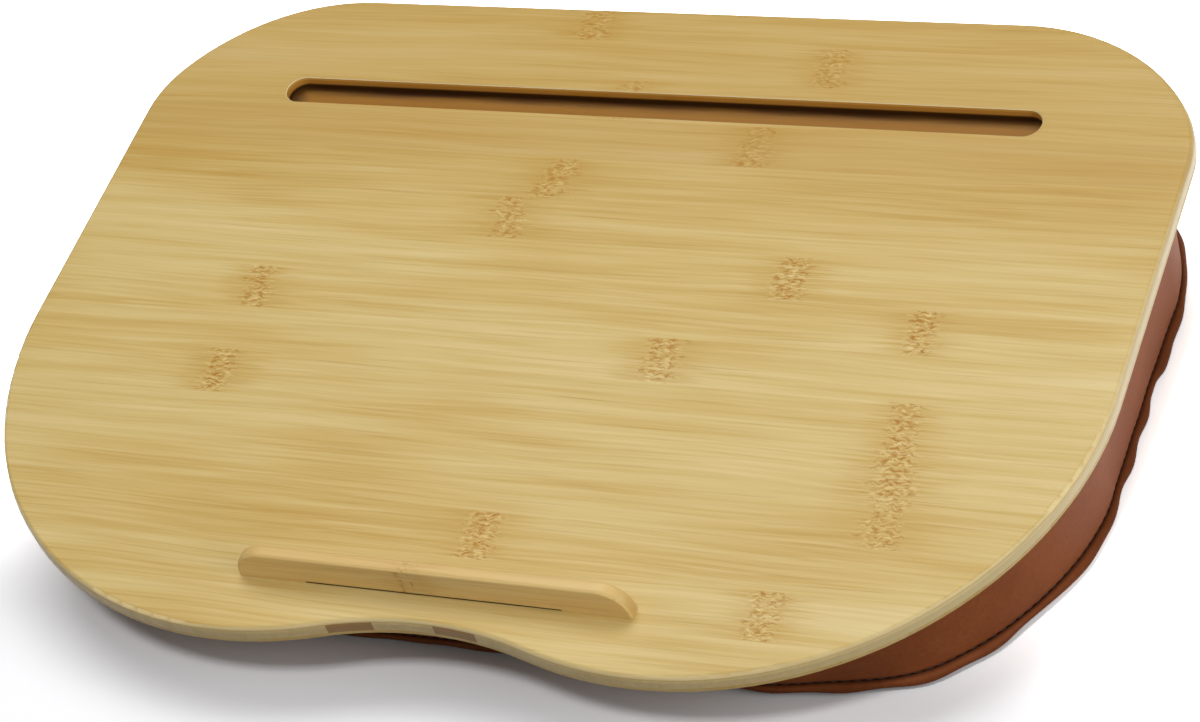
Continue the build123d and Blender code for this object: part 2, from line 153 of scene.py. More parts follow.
class NodeGraph:
    """Adds nodes to a shader or geometry tree and links them."""

    def __init__(self, tree: bpy.types.NodeTree) -> None:
        """Work on the given tree."""
        self.tree = tree

    def feed(self, socket: bpy.types.NodeSocket, value: Value) -> None:
        """Link a socket to another, or set its constant."""
        if isinstance(value, bpy.types.NodeSocket):
            self.tree.links.new(value, socket)
        else:
            socket.default_value = value

    def add(self, kind: str, inputs: dict[str | int, Value] | None = None,
            **settings: object) -> bpy.types.Node:
        """Add one node.

        Args:
            kind: The node's type name.
            inputs: Sockets by name or place, with what feeds them.
            **settings: The node's own properties.

        Returns:
            The new node.
        """
        node = self.tree.nodes.new(kind)
        for name, value in settings.items():
            setattr(node, name, value)
        for key, value in (inputs or {}).items():
            self.feed(node.inputs[key], value)
        return node

    def math(self, operation: str, *values: Value, clamp: bool = False) -> bpy.types.NodeSocket:
        """Add a Math node on one to three values and return its result."""
        inputs = dict(enumerate(values))
        node = self.add("ShaderNodeMath", inputs, operation=operation, use_clamp=clamp)
        return node.outputs[0]

    def ramp(self, value: Value, low: float, high: float, start: float = 0.0,
             end: float = 1.0) -> bpy.types.NodeSocket:
        """Return start below low and end above high, with a smooth step between."""
        inputs = {"Value": value, "From Min": low, "From Max": high, "To Min": start, "To Max": end}
        node = self.add("ShaderNodeMapRange", inputs, interpolation_type="SMOOTHSTEP")
        return node.outputs["Result"]

    def combine(self, x: Value, y: Value, z: Value = 0.0) -> bpy.types.NodeSocket:
        """Return a vector made of three values."""
        return self.add("ShaderNodeCombineXYZ", {0: x, 1: y, 2: z}).outputs[0]

    def split(self, vector: Value) -> tuple[bpy.types.NodeSocket, ...]:
        """Return a vector's three values."""
        return tuple(self.add("ShaderNodeSeparateXYZ", {0: vector}).outputs)

    def scaled(self, vector: Value, scale: Sequence[float]) -> bpy.types.NodeSocket:
        """Return a vector with each part multiplied."""
        node = self.add("ShaderNodeVectorMath", {0: vector, 1: tuple(scale)}, operation="MULTIPLY")
        return node.outputs[0]

    def noise(self, vector: Value, detail: float = 2.0, roughness: float = 0.5,
              distortion: float = 0.0) -> bpy.types.NodeSocket:
        """Return noise of unit scale at a vector, from 0 to 1."""
        inputs = {"Vector": vector, "Scale": 1.0, "Detail": detail, "Roughness": roughness,
                  "Distortion": distortion}
        return self.add("ShaderNodeTexNoise", inputs).outputs[0]

    def mix(self, share: Value, first: Value, second: Value) -> bpy.types.NodeSocket:
        """Return two colours mixed by a share."""
        inputs = {0: share, 6: first, 7: second}
        return self.add("ShaderNodeMix", inputs, data_type="RGBA").outputs[2]

    def product(self, *values: Value) -> bpy.types.NodeSocket:
        """Return the product of two values or more."""
        result = values[0]
        for value in values[1:]:
            result = self.math("MULTIPLY", result, value)
        return result

    def distance(self, first: Value, second: Value) -> bpy.types.NodeSocket:
        """Return how far apart two values are."""
        return self.math("ABSOLUTE", self.math("SUBTRACT", first, second))


@dataclass(frozen=True)
class Port:
    """One named input or output of a node group.

    Attributes:
        name: The socket's name.
        kind: Float, Vector, Color, Geometry or Material.
        value: The input's first value.
    """

    name: str
    kind: str = "Float"
    value: float | None = None


def node_group(name: str, tree_type: str, inputs: Sequence[Port],
               outputs: Sequence[Port]) -> tuple[NodeGraph, bpy.types.Node, bpy.types.Node]:
    """Start a node group.

    Args:
        name: The group's name.
        tree_type: ShaderNodeTree or GeometryNodeTree.
        inputs: Its inputs.
        outputs: Its outputs.

    Returns:
        The graph inside it, its input node and its output node.
    """
    tree = bpy.data.node_groups.new(name, tree_type)
    for port in inputs:
        kind = f"NodeSocket{port.kind}"
        socket = tree.interface.new_socket(name=port.name, in_out="INPUT", socket_type=kind)
        if port.value is not None:
            socket.default_value = port.value
    for port in outputs:
        kind = f"NodeSocket{port.kind}"
        tree.interface.new_socket(name=port.name, in_out="OUTPUT", socket_type=kind)
    graph = NodeGraph(tree)
    return graph, graph.add("NodeGroupInput"), graph.add("NodeGroupOutput")


class ShaderGroups:
    """The effects that several materials share, each built once."""

    def __init__(self) -> None:
        """Build every group."""
        self.grain = self.bamboo_grain()
        self.node = self.bamboo_node()
        self.strokes = self.node_strokes()
        self.slot = self.slot_zone()
        self.patch = self.plain_patch()
        self.leather = self.leather_grain()

    @staticmethod
    def bamboo_grain() -> bpy.types.NodeTree:
        """Build the grain of glued bamboo strips, with the fibres along X, in millimetres.

        Returns:
            A group that puts out the shade of the wood, its dark fibres, its pale streaks and
            its height, each from 0 to 1.
        """
        graph, start, end = node_group(
            "bamboo grain", "ShaderNodeTree",
            [Port("Vector", "Vector"), Port("Strip Width", value=21.5),
             Port("Strip Start", value=0.0), Port("Seed", value=0.0)],
            [Port("Shade"), Port("Fibres"), Port("Pale"), Port("Height")])
        x, y, z = graph.split(start.outputs["Vector"])
        across = graph.math("SUBTRACT", y, start.outputs["Strip Start"])
        place = graph.math("DIVIDE", across, start.outputs["Strip Width"])
        index = graph.math("FLOOR", place)
        key = graph.math("ADD", index, start.outputs["Seed"])
        chance = graph.add("ShaderNodeTexWhiteNoise", {"W": key}, noise_dimensions="1D")
        tone, slide, lift = graph.split(chance.outputs["Color"])
        moved_x = graph.math("MULTIPLY_ADD", slide, 900.0, x)
        moved_y = graph.math("MULTIPLY_ADD", lift, 300.0, y)
        vector = graph.combine(moved_x, moved_y, z)
        sway = graph.noise(graph.scaled(vector, (0.006, 0.02, 0.02)), 1.0)
        swayed_y = graph.math("MULTIPLY_ADD", sway, 9.0, moved_y)
        vector = graph.combine(moved_x, swayed_y, z)
        broad = graph.noise(graph.scaled(vector, (0.006, 0.17, 0.17)), 3.0, 0.55)
        fine = graph.noise(graph.scaled(vector, (0.013, 0.80, 0.80)), 4.0, 0.6)
        lines = graph.noise(graph.scaled(vector, (0.014, 1.15, 1.15)), 2.0, 0.5, 0.25)
        pale = graph.noise(graph.scaled(vector, (0.018, 0.55, 0.55)), 3.0, 0.5)
        cloud = graph.noise(graph.scaled(start.outputs["Vector"], (0.006, 0.02, 0.02)), 2.0)
        shade = graph.math("MULTIPLY_ADD", broad, 0.85, -0.425)
        shade = graph.math("ADD", shade, graph.math("MULTIPLY_ADD", fine, 0.55, -0.275))
        shade = graph.math("ADD", shade, graph.math("MULTIPLY_ADD", tone, 0.14, -0.07))
        shade = graph.math("ADD", shade, graph.math("MULTIPLY_ADD", cloud, 0.60, -0.30))
        shade = graph.math("ADD", shade, 0.5, clamp=True)
        graph.feed(end.inputs["Shade"], shade)
        graph.feed(end.inputs["Fibres"], graph.ramp(lines, 0.59, 0.72))
        graph.feed(end.inputs["Pale"], graph.ramp(pale, 0.55, 0.72))
        graph.feed(end.inputs["Height"], fine)
        return graph.tree

    @staticmethod
    def bamboo_node() -> bpy.types.NodeTree:
        """Build the place of one culm node: a slanted band across one strip.

        Returns:
            A group that puts out the band and the wider stain round it, from 0 to 1.
        """
        graph, start, end = node_group(
            "bamboo node", "ShaderNodeTree",
            [Port("Vector", "Vector"), Port("Middle X"), Port("Middle Y"),
             Port("Reach", value=10.7), Port("Half Width", value=5.0), Port("Slant", value=0.2),
             Port("Strength", value=1.0)],
            [Port("Band"), Port("Stain")])
        given = start.outputs
        x, y, _ = graph.split(given["Vector"])
        off_y = graph.math("SUBTRACT", y, given["Middle Y"])
        off_x = graph.math("SUBTRACT", x, given["Middle X"])
        lean = graph.math("MULTIPLY", given["Slant"], -1.0)
        leaned = graph.math("MULTIPLY_ADD", off_y, lean, off_x)
        wander = graph.noise(graph.scaled(given["Vector"], (0.05, 0.33, 0.33)), 3.0, 0.6)
        bent = graph.math("ADD", leaned, graph.math("MULTIPLY_ADD", wander, 9.0, -4.5))
        reach = graph.math("DIVIDE", graph.math("ABSOLUTE", off_y), given["Reach"])
        within = graph.ramp(reach, 0.94, 1.03, 1.0, 0.0)
        fringe = graph.noise(graph.scaled(given["Vector"], (0.03, 0.8, 0.8)), 3.0)
        ragged = graph.math("MULTIPLY_ADD", fringe, 2.6, -0.25)
        width = graph.math("MULTIPLY", given["Half Width"], ragged)
        across = graph.math("DIVIDE", graph.math("ABSOLUTE", bent), width)
        band = graph.math("MULTIPLY", graph.ramp(across, 0.45, 1.35, 1.0, 0.0), within)
        stain = graph.math("MULTIPLY", graph.ramp(across, 0.5, 3.6, 1.0, 0.0), within)
        graph.feed(end.inputs["Band"], graph.math("MULTIPLY", band, given["Strength"]))
        graph.feed(end.inputs["Stain"], graph.math("MULTIPLY", stain, given["Strength"]))
        return graph.tree

    @staticmethod
    def node_strokes() -> bpy.types.NodeTree:
        """Build the short wavy strokes that fill a culm node.

        Returns:
            A group that puts out the dark strokes, the light strokes and their height.
        """
        graph, start, end = node_group(
            "node strokes", "ShaderNodeTree", [Port("Vector", "Vector")],
            [Port("Dark"), Port("Light"), Port("Height")])
        vector = start.outputs["Vector"]
        x, y, _ = graph.split(vector)
        sway = graph.noise(graph.scaled(vector, (0.30, 0.10, 0.10)), 2.0)
        swayed_y = graph.math("MULTIPLY_ADD", sway, 4.0, y)
        long_x, short_y = graph.math("MULTIPLY", x, 0.34), graph.math("MULTIPLY", swayed_y, 0.90)
        stroke = graph.noise(graph.combine(long_x, short_y), 2.0, 0.55, 0.5)
        patch = graph.noise(graph.scaled(vector, (0.16, 0.34, 0.34)), 2.0)
        for name, low, high, start_share, end_share in (
                ("Dark", 0.50, 0.60, 0.35, 1.0), ("Light", 0.48, 0.39, 1.0, 0.35)):
            gathered = graph.ramp(patch, 0.38, 0.56, start_share, end_share)
            graph.feed(end.inputs[name], graph.product(gathered, graph.ramp(stroke, low, high)))
        graph.feed(end.inputs["Height"], graph.ramp(stroke, 0.62, 0.38))
        return graph.tree

    @staticmethod
    def slot_zone() -> bpy.types.NodeTree:
        """Build the part of the board that lies in the slot, in the board's millimetres.

        Returns:
            A group that puts out the slot's walls and floor, its eased lip, where a painted
            highlight goes, and how much painted shade a place in it gets, from 0 to 1.
        """
        graph, start, end = node_group(
            "slot zone", "ShaderNodeTree",
            [Port("Vector", "Vector"), Port("Middle Y"), Port("Half Length"), Port("Half Width")],
            [Port("Plan"), Port("Lip"), Port("Shade")])
        given = start.outputs
        x, y, z = graph.split(given["Vector"])
        off_y = graph.math("SUBTRACT", y, given["Middle Y"])
        past_x = graph.math("SUBTRACT", graph.math("ABSOLUTE", x), given["Half Length"])
        past_y = graph.math("SUBTRACT", graph.math("ABSOLUTE", off_y), given["Half Width"])
        within = graph.math("MULTIPLY", graph.ramp(past_x, 0.5, 0.9, 1.0, 0.0),
                            graph.ramp(past_y, 0.5, 0.9, 1.0, 0.0))
        plan = graph.math("MULTIPLY", within, graph.ramp(z, -0.35, -0.50))
        edged = graph.math("MULTIPLY", within, graph.ramp(z, -0.02, -0.12))
        # Painted shade: the lower walls, and the floor darker towards the back wall and the left
        # end.
        wander = graph.noise(graph.scaled(given["Vector"], (0.03, 0.4, 0.4)), 2.0)
        back = graph.math("DIVIDE", off_y, given["Half Width"])
        back = graph.math("MULTIPLY_ADD", wander, 0.5, graph.math("SUBTRACT", back, 0.25))
        painted_end_shade = graph.ramp(x, -150.0, -158.0, 0.0, 0.8)
        floor = graph.math("MAXIMUM", graph.ramp(back, 0.05, 1.0), painted_end_shade)
        wall = graph.ramp(z, -2.9, -4.2)
        floor = graph.math("MAXIMUM", floor, graph.ramp(z, -5.6, -5.5))
        shade = graph.math("MULTIPLY", floor, wall)
        graph.feed(end.inputs["Plan"], plan)
        graph.feed(end.inputs["Lip"], graph.math("SUBTRACT", edged, plan, clamp=True))
        graph.feed(end.inputs["Shade"], shade)
        return graph.tree

    @staticmethod
    def plain_patch() -> bpy.types.NodeTree:
        """Build a rectangular patch on the board's plan, in the board's millimetres.

        Returns:
            A group that puts out 1 inside the rectangle and 0 outside it.
        """
        graph, start, end = node_group(
            "plain patch", "ShaderNodeTree",
            [Port("Vector", "Vector"), Port("Middle X"), Port("Middle Y"), Port("Half X"),
             Port("Half Y")],
            [Port("Mask")])
        given = start.outputs
        x, y, _ = graph.split(given["Vector"])
        mask: Value = 1.0
        for value, axis in ((x, "X"), (y, "Y")):
            off = graph.distance(value, given[f"Middle {axis}"])
            past = graph.math("SUBTRACT", off, given[f"Half {axis}"])
            mask = graph.math("MULTIPLY", mask, graph.ramp(past, -0.1, 0.1, 1.0, 0.0))
        graph.feed(end.inputs["Mask"], mask)
        return graph.tree

    @staticmethod
    def leather_grain() -> bpy.types.NodeTree:
        """Build the pebbled grain and the cloudy tone of coated cloth, in millimetres.

        Returns:
            A group that puts out the grain's height, its pores and the cloudy tone.
        """
        graph, start, end = node_group(
            "leather grain", "ShaderNodeTree",
            [Port("Vector", "Vector"), Port("Pebble", value=1.1)],
            [Port("Height"), Port("Pores"), Port("Tone")])
        vector = start.outputs["Vector"]
        per = graph.math("DIVIDE", 1.0, start.outputs["Pebble"])
        shifted = graph.add("ShaderNodeVectorMath", {0: vector, "Scale": per}, operation="SCALE")
        cells = graph.add(
            "ShaderNodeTexVoronoi",
            {"Vector": shifted.outputs[0], "Scale": 1.0, "Randomness": 0.9},
            feature="DISTANCE_TO_EDGE")
        pebble = graph.ramp(cells.outputs["Distance"], 0.0, 0.22)
        fine = graph.noise(graph.scaled(vector, (2.3, 2.3, 2.3)), 3.0, 0.6)
        height = graph.math("MULTIPLY_ADD", fine, 0.45, graph.math("MULTIPLY", pebble, 0.55))
        soft = graph.noise(graph.scaled(vector, (0.035, 0.035, 0.035)), 3.0, 0.55)
        speck = graph.noise(graph.scaled(vector, (0.55, 0.55, 0.55)), 3.0, 0.6)
        tone = graph.math("MULTIPLY_ADD", speck, 0.4, graph.math("MULTIPLY", soft, 0.6))
        graph.feed(end.inputs["Height"], height)
        graph.feed(end.inputs["Pores"], graph.math("SUBTRACT", 1.0, pebble))
        graph.feed(end.inputs["Tone"], tone)
        return graph.tree


@dataclass(frozen=True)
class NodeMark:
    """One culm node on a strip of the board's face.

    Attributes:
        x_mm: Place along the strip, on the board's axes.
        y_mm: Middle of the strip.
        reach_mm: Half of the height that it covers across the strip.
        half_width_mm: Half of the band's width along the strip.
        slant: How far the band leans to the right for each unit towards the back.
        strength: How strongly it shows.
    """

    x_mm: float
    y_mm: float
    reach_mm: float = 10.6
    half_width_mm: float = 5.0
    slant: float = 0.25
    strength: float = 1.0


@dataclass(frozen=True)
class Patch:
    """A part of the board's plan with a tone laid over it, which is the wood's own tone for some
    patches and painted shade for others.

    Attributes:
        x_mm: Its middle, on the board's axes.
        y_mm: Its middle towards the back.
        half_x_mm: Half of its width.
        half_y_mm: Half of its depth.
        colour: Its tone.
        share: How strongly the tone shows.
    """

    x_mm: float
    y_mm: float
    half_x_mm: float
    half_y_mm: float
    colour: Colour
    share: float


@dataclass(frozen=True)
class SlotPlan:
    """The slot's plan on the board, in millimetres.

    Attributes:
        middle_y_mm: Its middle line.
        half_length_mm: Half of its length.
        half_width_mm: Half of its width.
    """

    middle_y_mm: float
    half_length_mm: float
    half_width_mm: float

    @classmethod
    def measure(cls, plane: BoardPlane) -> "SlotPlan":
        """Return the slot's plan, from the record's slot and the walls of the face ply."""
        mount = next(m for m in frame["record"]["mounts"] if m["name"] == "device_slot")
        middle = plane.to_board(np.array([mount["pos_m"]]))[0, 1]
        half = mount["dims"]["length_mm"] / 2
        points = plane.to_board(mesh_points(frame["nodes"]["top_ply"].data)) / MM
        middle /= MM
        low = points[:, 2].min() + 0.1
        near = (np.abs(points[:, 1] - middle) < 12) & (np.abs(points[:, 0]) < half + 1)
        wall = points[near & (points[:, 2] < low)]
        return cls(float(middle), float(half), float(np.ptp(wall[:, 1]) / 2))


class Finish:
    """A material under construction, with a Principled shader and millimetre coordinates."""

    def __init__(self, name: str, plane: BoardPlane) -> None:
        """Start the material.

        Args:
            name: The material's name.
            plane: The board's axes, which its patterns are laid on.
        """
        self.material = bpy.data.materials.new(name)
        self.material.use_nodes = True
        self.graph = NodeGraph(self.material.node_tree)
        self.shader = self.material.node_tree.nodes["Principled BSDF"]
        place = self.graph.add("ShaderNodeTexCoord").outputs["Object"]
        inputs = {"Vector": place, "Location": plane.origin, "Rotation": (plane.tilt, 0, 0),
                  "Scale": (MM, MM, MM)}
        mapping = self.graph.add("ShaderNodeMapping", inputs, vector_type="TEXTURE")
        self.vector = mapping.outputs[0]

    def group(self, tree: bpy.types.NodeTree, **inputs: Value) -> bpy.types.NodeSocket:
        """Place a node group.

        Args:
            tree: The group.
            **inputs: Its inputs, with _ for a space in a name.

        Returns:
            The group's outputs.
        """
        node = self.graph.add("ShaderNodeGroup", node_tree=tree)
        for name, value in inputs.items():
            self.graph.feed(node.inputs[name.replace("_", " ").title()], value)
        return node.outputs

    def relief(self, height: Value, distance: float, strength: float = 1.0) -> None:
        """Bump the surface.

        Args:
            height: Height from 0 to 1.
            distance: What a height of 1 stands for, in metres.
            strength: Share of the bump that shows.
        """
        inputs = {"Height": height, "Distance": distance, "Strength": strength}
        bump = self.graph.add("ShaderNodeBump", inputs)
        self.graph.feed(self.shader.inputs["Normal"], bump.outputs[0])

    def set(self, **inputs: Value) -> None:
        """Set the shader's inputs, with _ for a space in a name."""
        for name, value in inputs.items():
            title = name.replace("_", " ").title().replace("Ior", "IOR")
            self.graph.feed(self.shader.inputs[title], value)


@dataclass(frozen=True)
class ToneShares:
    """How strongly the bamboo's tones show, from 0 to 1.

    Attributes:
        vein: The dark fibres.
        streak: The pale streaks.
        rim: The painted highlight on the eased edge.
        glue: The glue lines.
        back: The painted shade towards the back, darker and more golden.
        flank: The edge at the board's sides.
        slot: The slot's walls or floor, whose tone includes painted light on the walls and painted
            shade on the floor.
        painted_slot_shade: The painted shade in the slot.
        lip: The painted highlight on the slot's eased lip.
        mark_dark: The dark strokes of a culm node.
        mark_light: Its light strokes.
    """

    vein: float = 0.26
    streak: float = 0.35
    rim: float = 0.62
    glue: float = 0.6
    back: float = 0.42
    flank: float = 0.85
    slot: float = 0.93
    painted_slot_shade: float = 0.94
    lip: float = 0.85
    mark_dark: float = 0.90
    mark_light: float = 0.60


@dataclass(frozen=True)
class BambooFinish:
    """Lacquered bamboo.

    Attributes:
        name: The material's name.
        fibre: The board axis along the fibres.
        pale: The lightest streaks.
        base: The wood between them.
        golden: The richer wood.
        vein: The dark fibres.
        strip_mm: Width of the strips.
        start_mm: Where the strips are counted from.
        seed: Which strips these are.
        contrast: How strongly the grain shows.
        gloss: Roughness of the lacquer.
        marks: The culm nodes on it.
        mark_dark: The fibres that a culm node darkens.
        mark_light: The fibres that it lightens.
        patches: Parts of the plan with tones laid over them, some of them painted shade.
        slot_plan: The slot's place.
        slot: The tone of the slot's walls or floor: on the walls a bright golden that includes
            painted light, on the floor a brown that includes painted shade.
        painted_slot_shade: Painted shade where little light reaches: the slot's lower walls, and
            its floor towards the back wall and the left end.
        rim: A paler tone below a level of rim_level_mm, a painted highlight on the eased edge,
            also laid on the slot's lip.
        rim_level_mm: Where the edge starts, on the board's z axis.
        flanks: What the edge shows at the board's sides.
        back_painted_shade: A darker, more golden tone towards the board's back, painted shade.
        glue_mm: Levels of the glue lines, on the board's z axis.
        relief_depth: Depth of the grain in metres.
        mark_height: Height of a culm node's strokes, where the grain's is 0.5.
        shares: How strongly each tone shows.
    """

    name: str
    fibre: Fibre
    pale: Colour
    base: Colour
    golden: Colour
    vein: Colour
    strip_mm: float = 21.5
    start_mm: float = 0.0
    seed: float = 0.0
    contrast: float = 1.0
    gloss: float = 0.42
    marks: tuple[NodeMark, ...] = ()
    mark_dark: Colour = display(170, 114, 14)
    mark_light: Colour = display(228, 206, 146)
    patches: tuple[Patch, ...] = ()
    slot_plan: SlotPlan | None = None
    slot: Colour | None = None
    painted_slot_shade: Colour = display(38, 12, 2)
    rim: Colour | None = None
    rim_level_mm: float = -0.12
    flanks: Colour | None = None
    back_painted_shade: Colour | None = None
    glue_mm: tuple[float, ...] = ()
    relief_depth: float = 0.00006
    mark_height: float = 1.2
    shares: ToneShares = ToneShares()

    def build(self, groups: ShaderGroups, plane: BoardPlane) -> bpy.types.Material:
        """Return the material.

        Args:
            groups: The shared shader groups.
            plane: The board's axes.

        Returns:
            The finished material.
        """
        finish = Finish(self.name, plane)
        graph = finish.graph
        vector = finish.vector
        if self.fibre is Fibre.BACKWARDS:
            x, y, z = graph.split(vector)
            vector = graph.combine(y, x, z)
        grain = finish.group(groups.grain, vector=vector, strip_width=self.strip_mm,
                             strip_start=self.start_mm, seed=self.seed)
        ramp = graph.add("ShaderNodeValToRGB", {"Fac": grain["Shade"]})
        stops = ramp.color_ramp.elements
        stops[0].position, stops[0].color = 0.18, self.golden
        stops[1].position, stops[1].color = 0.80, self.pale
        middle = stops.new(0.50)
        middle.color = self.base
        colour = graph.mix(self.contrast, self.base, ramp.outputs[0])
        veins = graph.math("MULTIPLY", grain["Fibres"], self.shares.vein * self.contrast)
        colour = graph.mix(veins, colour, self.vein)
        streaks = graph.math("MULTIPLY", grain["Pale"], self.shares.streak * self.contrast)
        colour = graph.mix(streaks, colour, self.pale)
        height = graph.math("MULTIPLY", grain["Height"], 0.5)
        if self.marks:
            colour, height = self.add_marks(finish, groups, colour, height)
        colour = self.add_zones(finish, groups, colour)
        rough = graph.math("MULTIPLY_ADD", grain["Shade"], -0.10, self.gloss + 0.05)
        finish.set(base_color=colour, roughness=rough, specular_ior_level=0.26,
                   coat_weight=0.05, coat_roughness=0.30)
        finish.relief(height, self.relief_depth, 0.7)
        return finish.material

    def add_zones(self, finish: Finish, groups: ShaderGroups,
                  colour: bpy.types.NodeSocket) -> bpy.types.NodeSocket:
        """Lay the zones' tones over the grain: the edge's painted highlight, the glue lines, the
        painted shade towards the back, the flanks, the patches, and the slot's tones with their
        painted light and shade.

        Args:
            finish: The material under construction.
            groups: The shared shader groups.
            colour: The colour so far.

        Returns:
            The colour with the zones.
        """
        graph, shares = finish.graph, self.shares
        x, y, z = graph.split(finish.vector)
        # Painted highlight on the eased edge.
        if self.rim:
            share = graph.ramp(z, self.rim_level_mm, self.rim_level_mm - 0.5, 0.0, shares.rim)
            colour = graph.mix(share, colour, self.rim)
        for level in self.glue_mm:
            off = graph.distance(z, level)
            colour = graph.mix(graph.ramp(off, 0.08, 0.30, shares.glue, 0.0), colour, self.golden)
        # Painted shade: darker and more golden towards the back.
        if self.back_painted_shade:
            share = graph.ramp(y, 20.0, 110.0, 0.0, shares.back)
            colour = graph.mix(share, colour, self.back_painted_shade)
        if self.flanks:
            share = graph.ramp(graph.math("ABSOLUTE", x), 118.0, 190.0, 0.0, shares.flank)
            colour = graph.mix(share, colour, self.flanks)
        for patch in self.patches:
            mask = finish.group(groups.patch, vector=finish.vector, middle_x=patch.x_mm,
                                middle_y=patch.y_mm, half_x=patch.half_x_mm,
                                half_y=patch.half_y_mm)["Mask"]
            colour = graph.mix(graph.math("MULTIPLY", mask, patch.share), colour, patch.colour)
        if self.slot and self.slot_plan:
            plan = self.slot_plan
            zone = finish.group(groups.slot, vector=finish.vector, middle_y=plan.middle_y_mm,
                                half_length=plan.half_length_mm, half_width=plan.half_width_mm)
            # The slot's tone: painted light on its walls, painted shade on its floor.
            colour = graph.mix(graph.product(zone["Plan"], shares.slot), colour, self.slot)
            # Painted shade in the slot, on its lower walls and on its floor towards the back.
            dark = graph.product(zone["Plan"], zone["Shade"], shares.painted_slot_shade)
            colour = graph.mix(dark, colour, self.painted_slot_shade)
            # Painted highlight on the slot's lip.
            if self.rim:
                colour = graph.mix(graph.product(zone["Lip"], shares.lip), colour, self.rim)
        return colour

    def add_marks(self, finish: Finish, groups: ShaderGroups, colour: Value,
                  height: Value) -> tuple[bpy.types.NodeSocket, bpy.types.NodeSocket]:
        """Lay the culm nodes over the grain.

        Args:
            finish: The material under construction.
            groups: The shared shader groups.
            colour: The colour so far.
            height: The height so far.

        Returns:
            The colour and the height with the marks.
        """
        graph = finish.graph
        band: Value = 0.0
        stain: Value = 0.0
        for mark in self.marks:
            spot = finish.group(
                groups.node, vector=finish.vector, middle_x=mark.x_mm, middle_y=mark.y_mm,
                reach=mark.reach_mm, half_width=mark.half_width_mm, slant=mark.slant,
                strength=mark.strength)
            band = graph.math("MAXIMUM", band, spot["Band"])
            stain = graph.math("MAXIMUM", stain, spot["Stain"])
        strokes = finish.group(groups.strokes, vector=finish.vector)
        flare = graph.noise(graph.scaled(finish.vector, (0.05, 0.9, 0.9)), 3.0)
        flare = graph.math("MULTIPLY", stain, graph.ramp(flare, 0.35, 0.65, 0.25, 0.85))
        colour = graph.mix(flare, colour, self.golden)
        dark = graph.product(band, strokes["Dark"], self.shares.mark_dark)
        colour = graph.mix(dark, colour, self.mark_dark)
        light = graph.product(band, strokes["Light"], self.shares.mark_light)
        colour = graph.mix(light, colour, self.mark_light)
        relief = graph.math("MULTIPLY", band, strokes["Height"])
        return colour, graph.math("MULTIPLY_ADD", relief, self.mark_height, height)


@dataclass(frozen=True)
class LeatherFinish:
    """Coated cloth that looks like smooth leather.

    Attributes:
        name: The material's name.
        base: Its middle colour.
        deep: Its darker patches and pores.
        painted_crease_shade: The painted shade down in a seam and over the bottom panel's roll.
    """

    name: str
    base: Colour
    deep: Colour
    painted_crease_shade: Colour

    def build(self, groups: ShaderGroups, plane: BoardPlane) -> bpy.types.Material:
        """Return the material.

        Args:
            groups: The shared shader groups.
            plane: The board's axes.

        Returns:
            The finished material.
        """
        finish = Finish(self.name, plane)
        graph = finish.graph
        grain = finish.group(groups.leather, vector=finish.vector)
        share = graph.ramp(grain["Tone"], 0.35, 0.65, 0.75, 0.0)
        colour = graph.mix(share, self.base, self.deep)
        colour = graph.mix(graph.math("MULTIPLY", grain["Pores"], 0.22), colour, self.deep)
        # Painted shade in the seams and over the bottom panel's roll, from the attribute set on the
        # cushion's pieces.
        painted_crease_share = graph.add("ShaderNodeAttribute", attribute_name="painted_crease_share").outputs["Fac"]
        colour = graph.mix(graph.math("MULTIPLY", painted_crease_share, 0.9), colour, self.painted_crease_shade)
        rough = graph.math("MULTIPLY_ADD", grain["Tone"], 0.16, 0.46)
        finish.set(base_color=colour, roughness=rough, specular_ior_level=0.08)
        finish.relief(grain["Height"], 0.00006, 0.7)
        return finish.material


@dataclass(frozen=True)
class ThreadFinish:
    """Twisted sewing thread.

    Attributes:
        name: The material's name.
        colour: The thread's colour.
    """

    name: str
    colour: Colour

    def build(self, groups: ShaderGroups, plane: BoardPlane) -> bpy.types.Material:
        """Return the material, with the twist as fine slanting stripes."""
        finish = Finish(self.name, plane)
        graph = finish.graph
        wave = graph.add("ShaderNodeTexWave",
                         {"Vector": finish.vector, "Scale": 1.1, "Distortion": 0.6},
                         wave_type="BANDS", bands_direction="DIAGONAL")
        share = graph.math("MULTIPLY", wave.outputs["Fac"], 0.45)
        dark = darker(self.colour, 0.35)
        finish.set(base_color=graph.mix(share, self.colour, dark), roughness=0.62,
                   sheen_weight=0.15)
        finish.relief(wave.outputs["Fac"], 0.00006)
        return finish.material


@dataclass(frozen=True)
class WovenFinish:
    """Woven tape, with ribs along the board's x axis.

    Attributes:
        name: The material's name.
        colour: The yarn's colour.
        rib_mm: Width of one rib.
    """

    name: str
    colour: Colour
    rib_mm: float = 0.9

    def build(self, groups: ShaderGroups, plane: BoardPlane) -> bpy.types.Material:
        """Return the material, a plain weave of ribs and picks."""
        finish = Finish(self.name, plane)
        graph = finish.graph
        x, _, z = graph.split(finish.vector)
        turn = math.tau / self.rib_mm
        warp = graph.math("SINE", graph.math("MULTIPLY", z, turn))
        pick = graph.math("SINE", graph.math("MULTIPLY", x, turn * 0.8))
        weave = graph.math("MULTIPLY_ADD", graph.math("MULTIPLY", warp, pick), 0.5, 0.5)
        dark = darker(self.colour, 0.5)
        finish.set(base_color=graph.mix(weave, dark, self.colour), roughness=0.8,
                   sheen_weight=0.2)
        finish.relief(weave, 0.0001)
        return finish.material


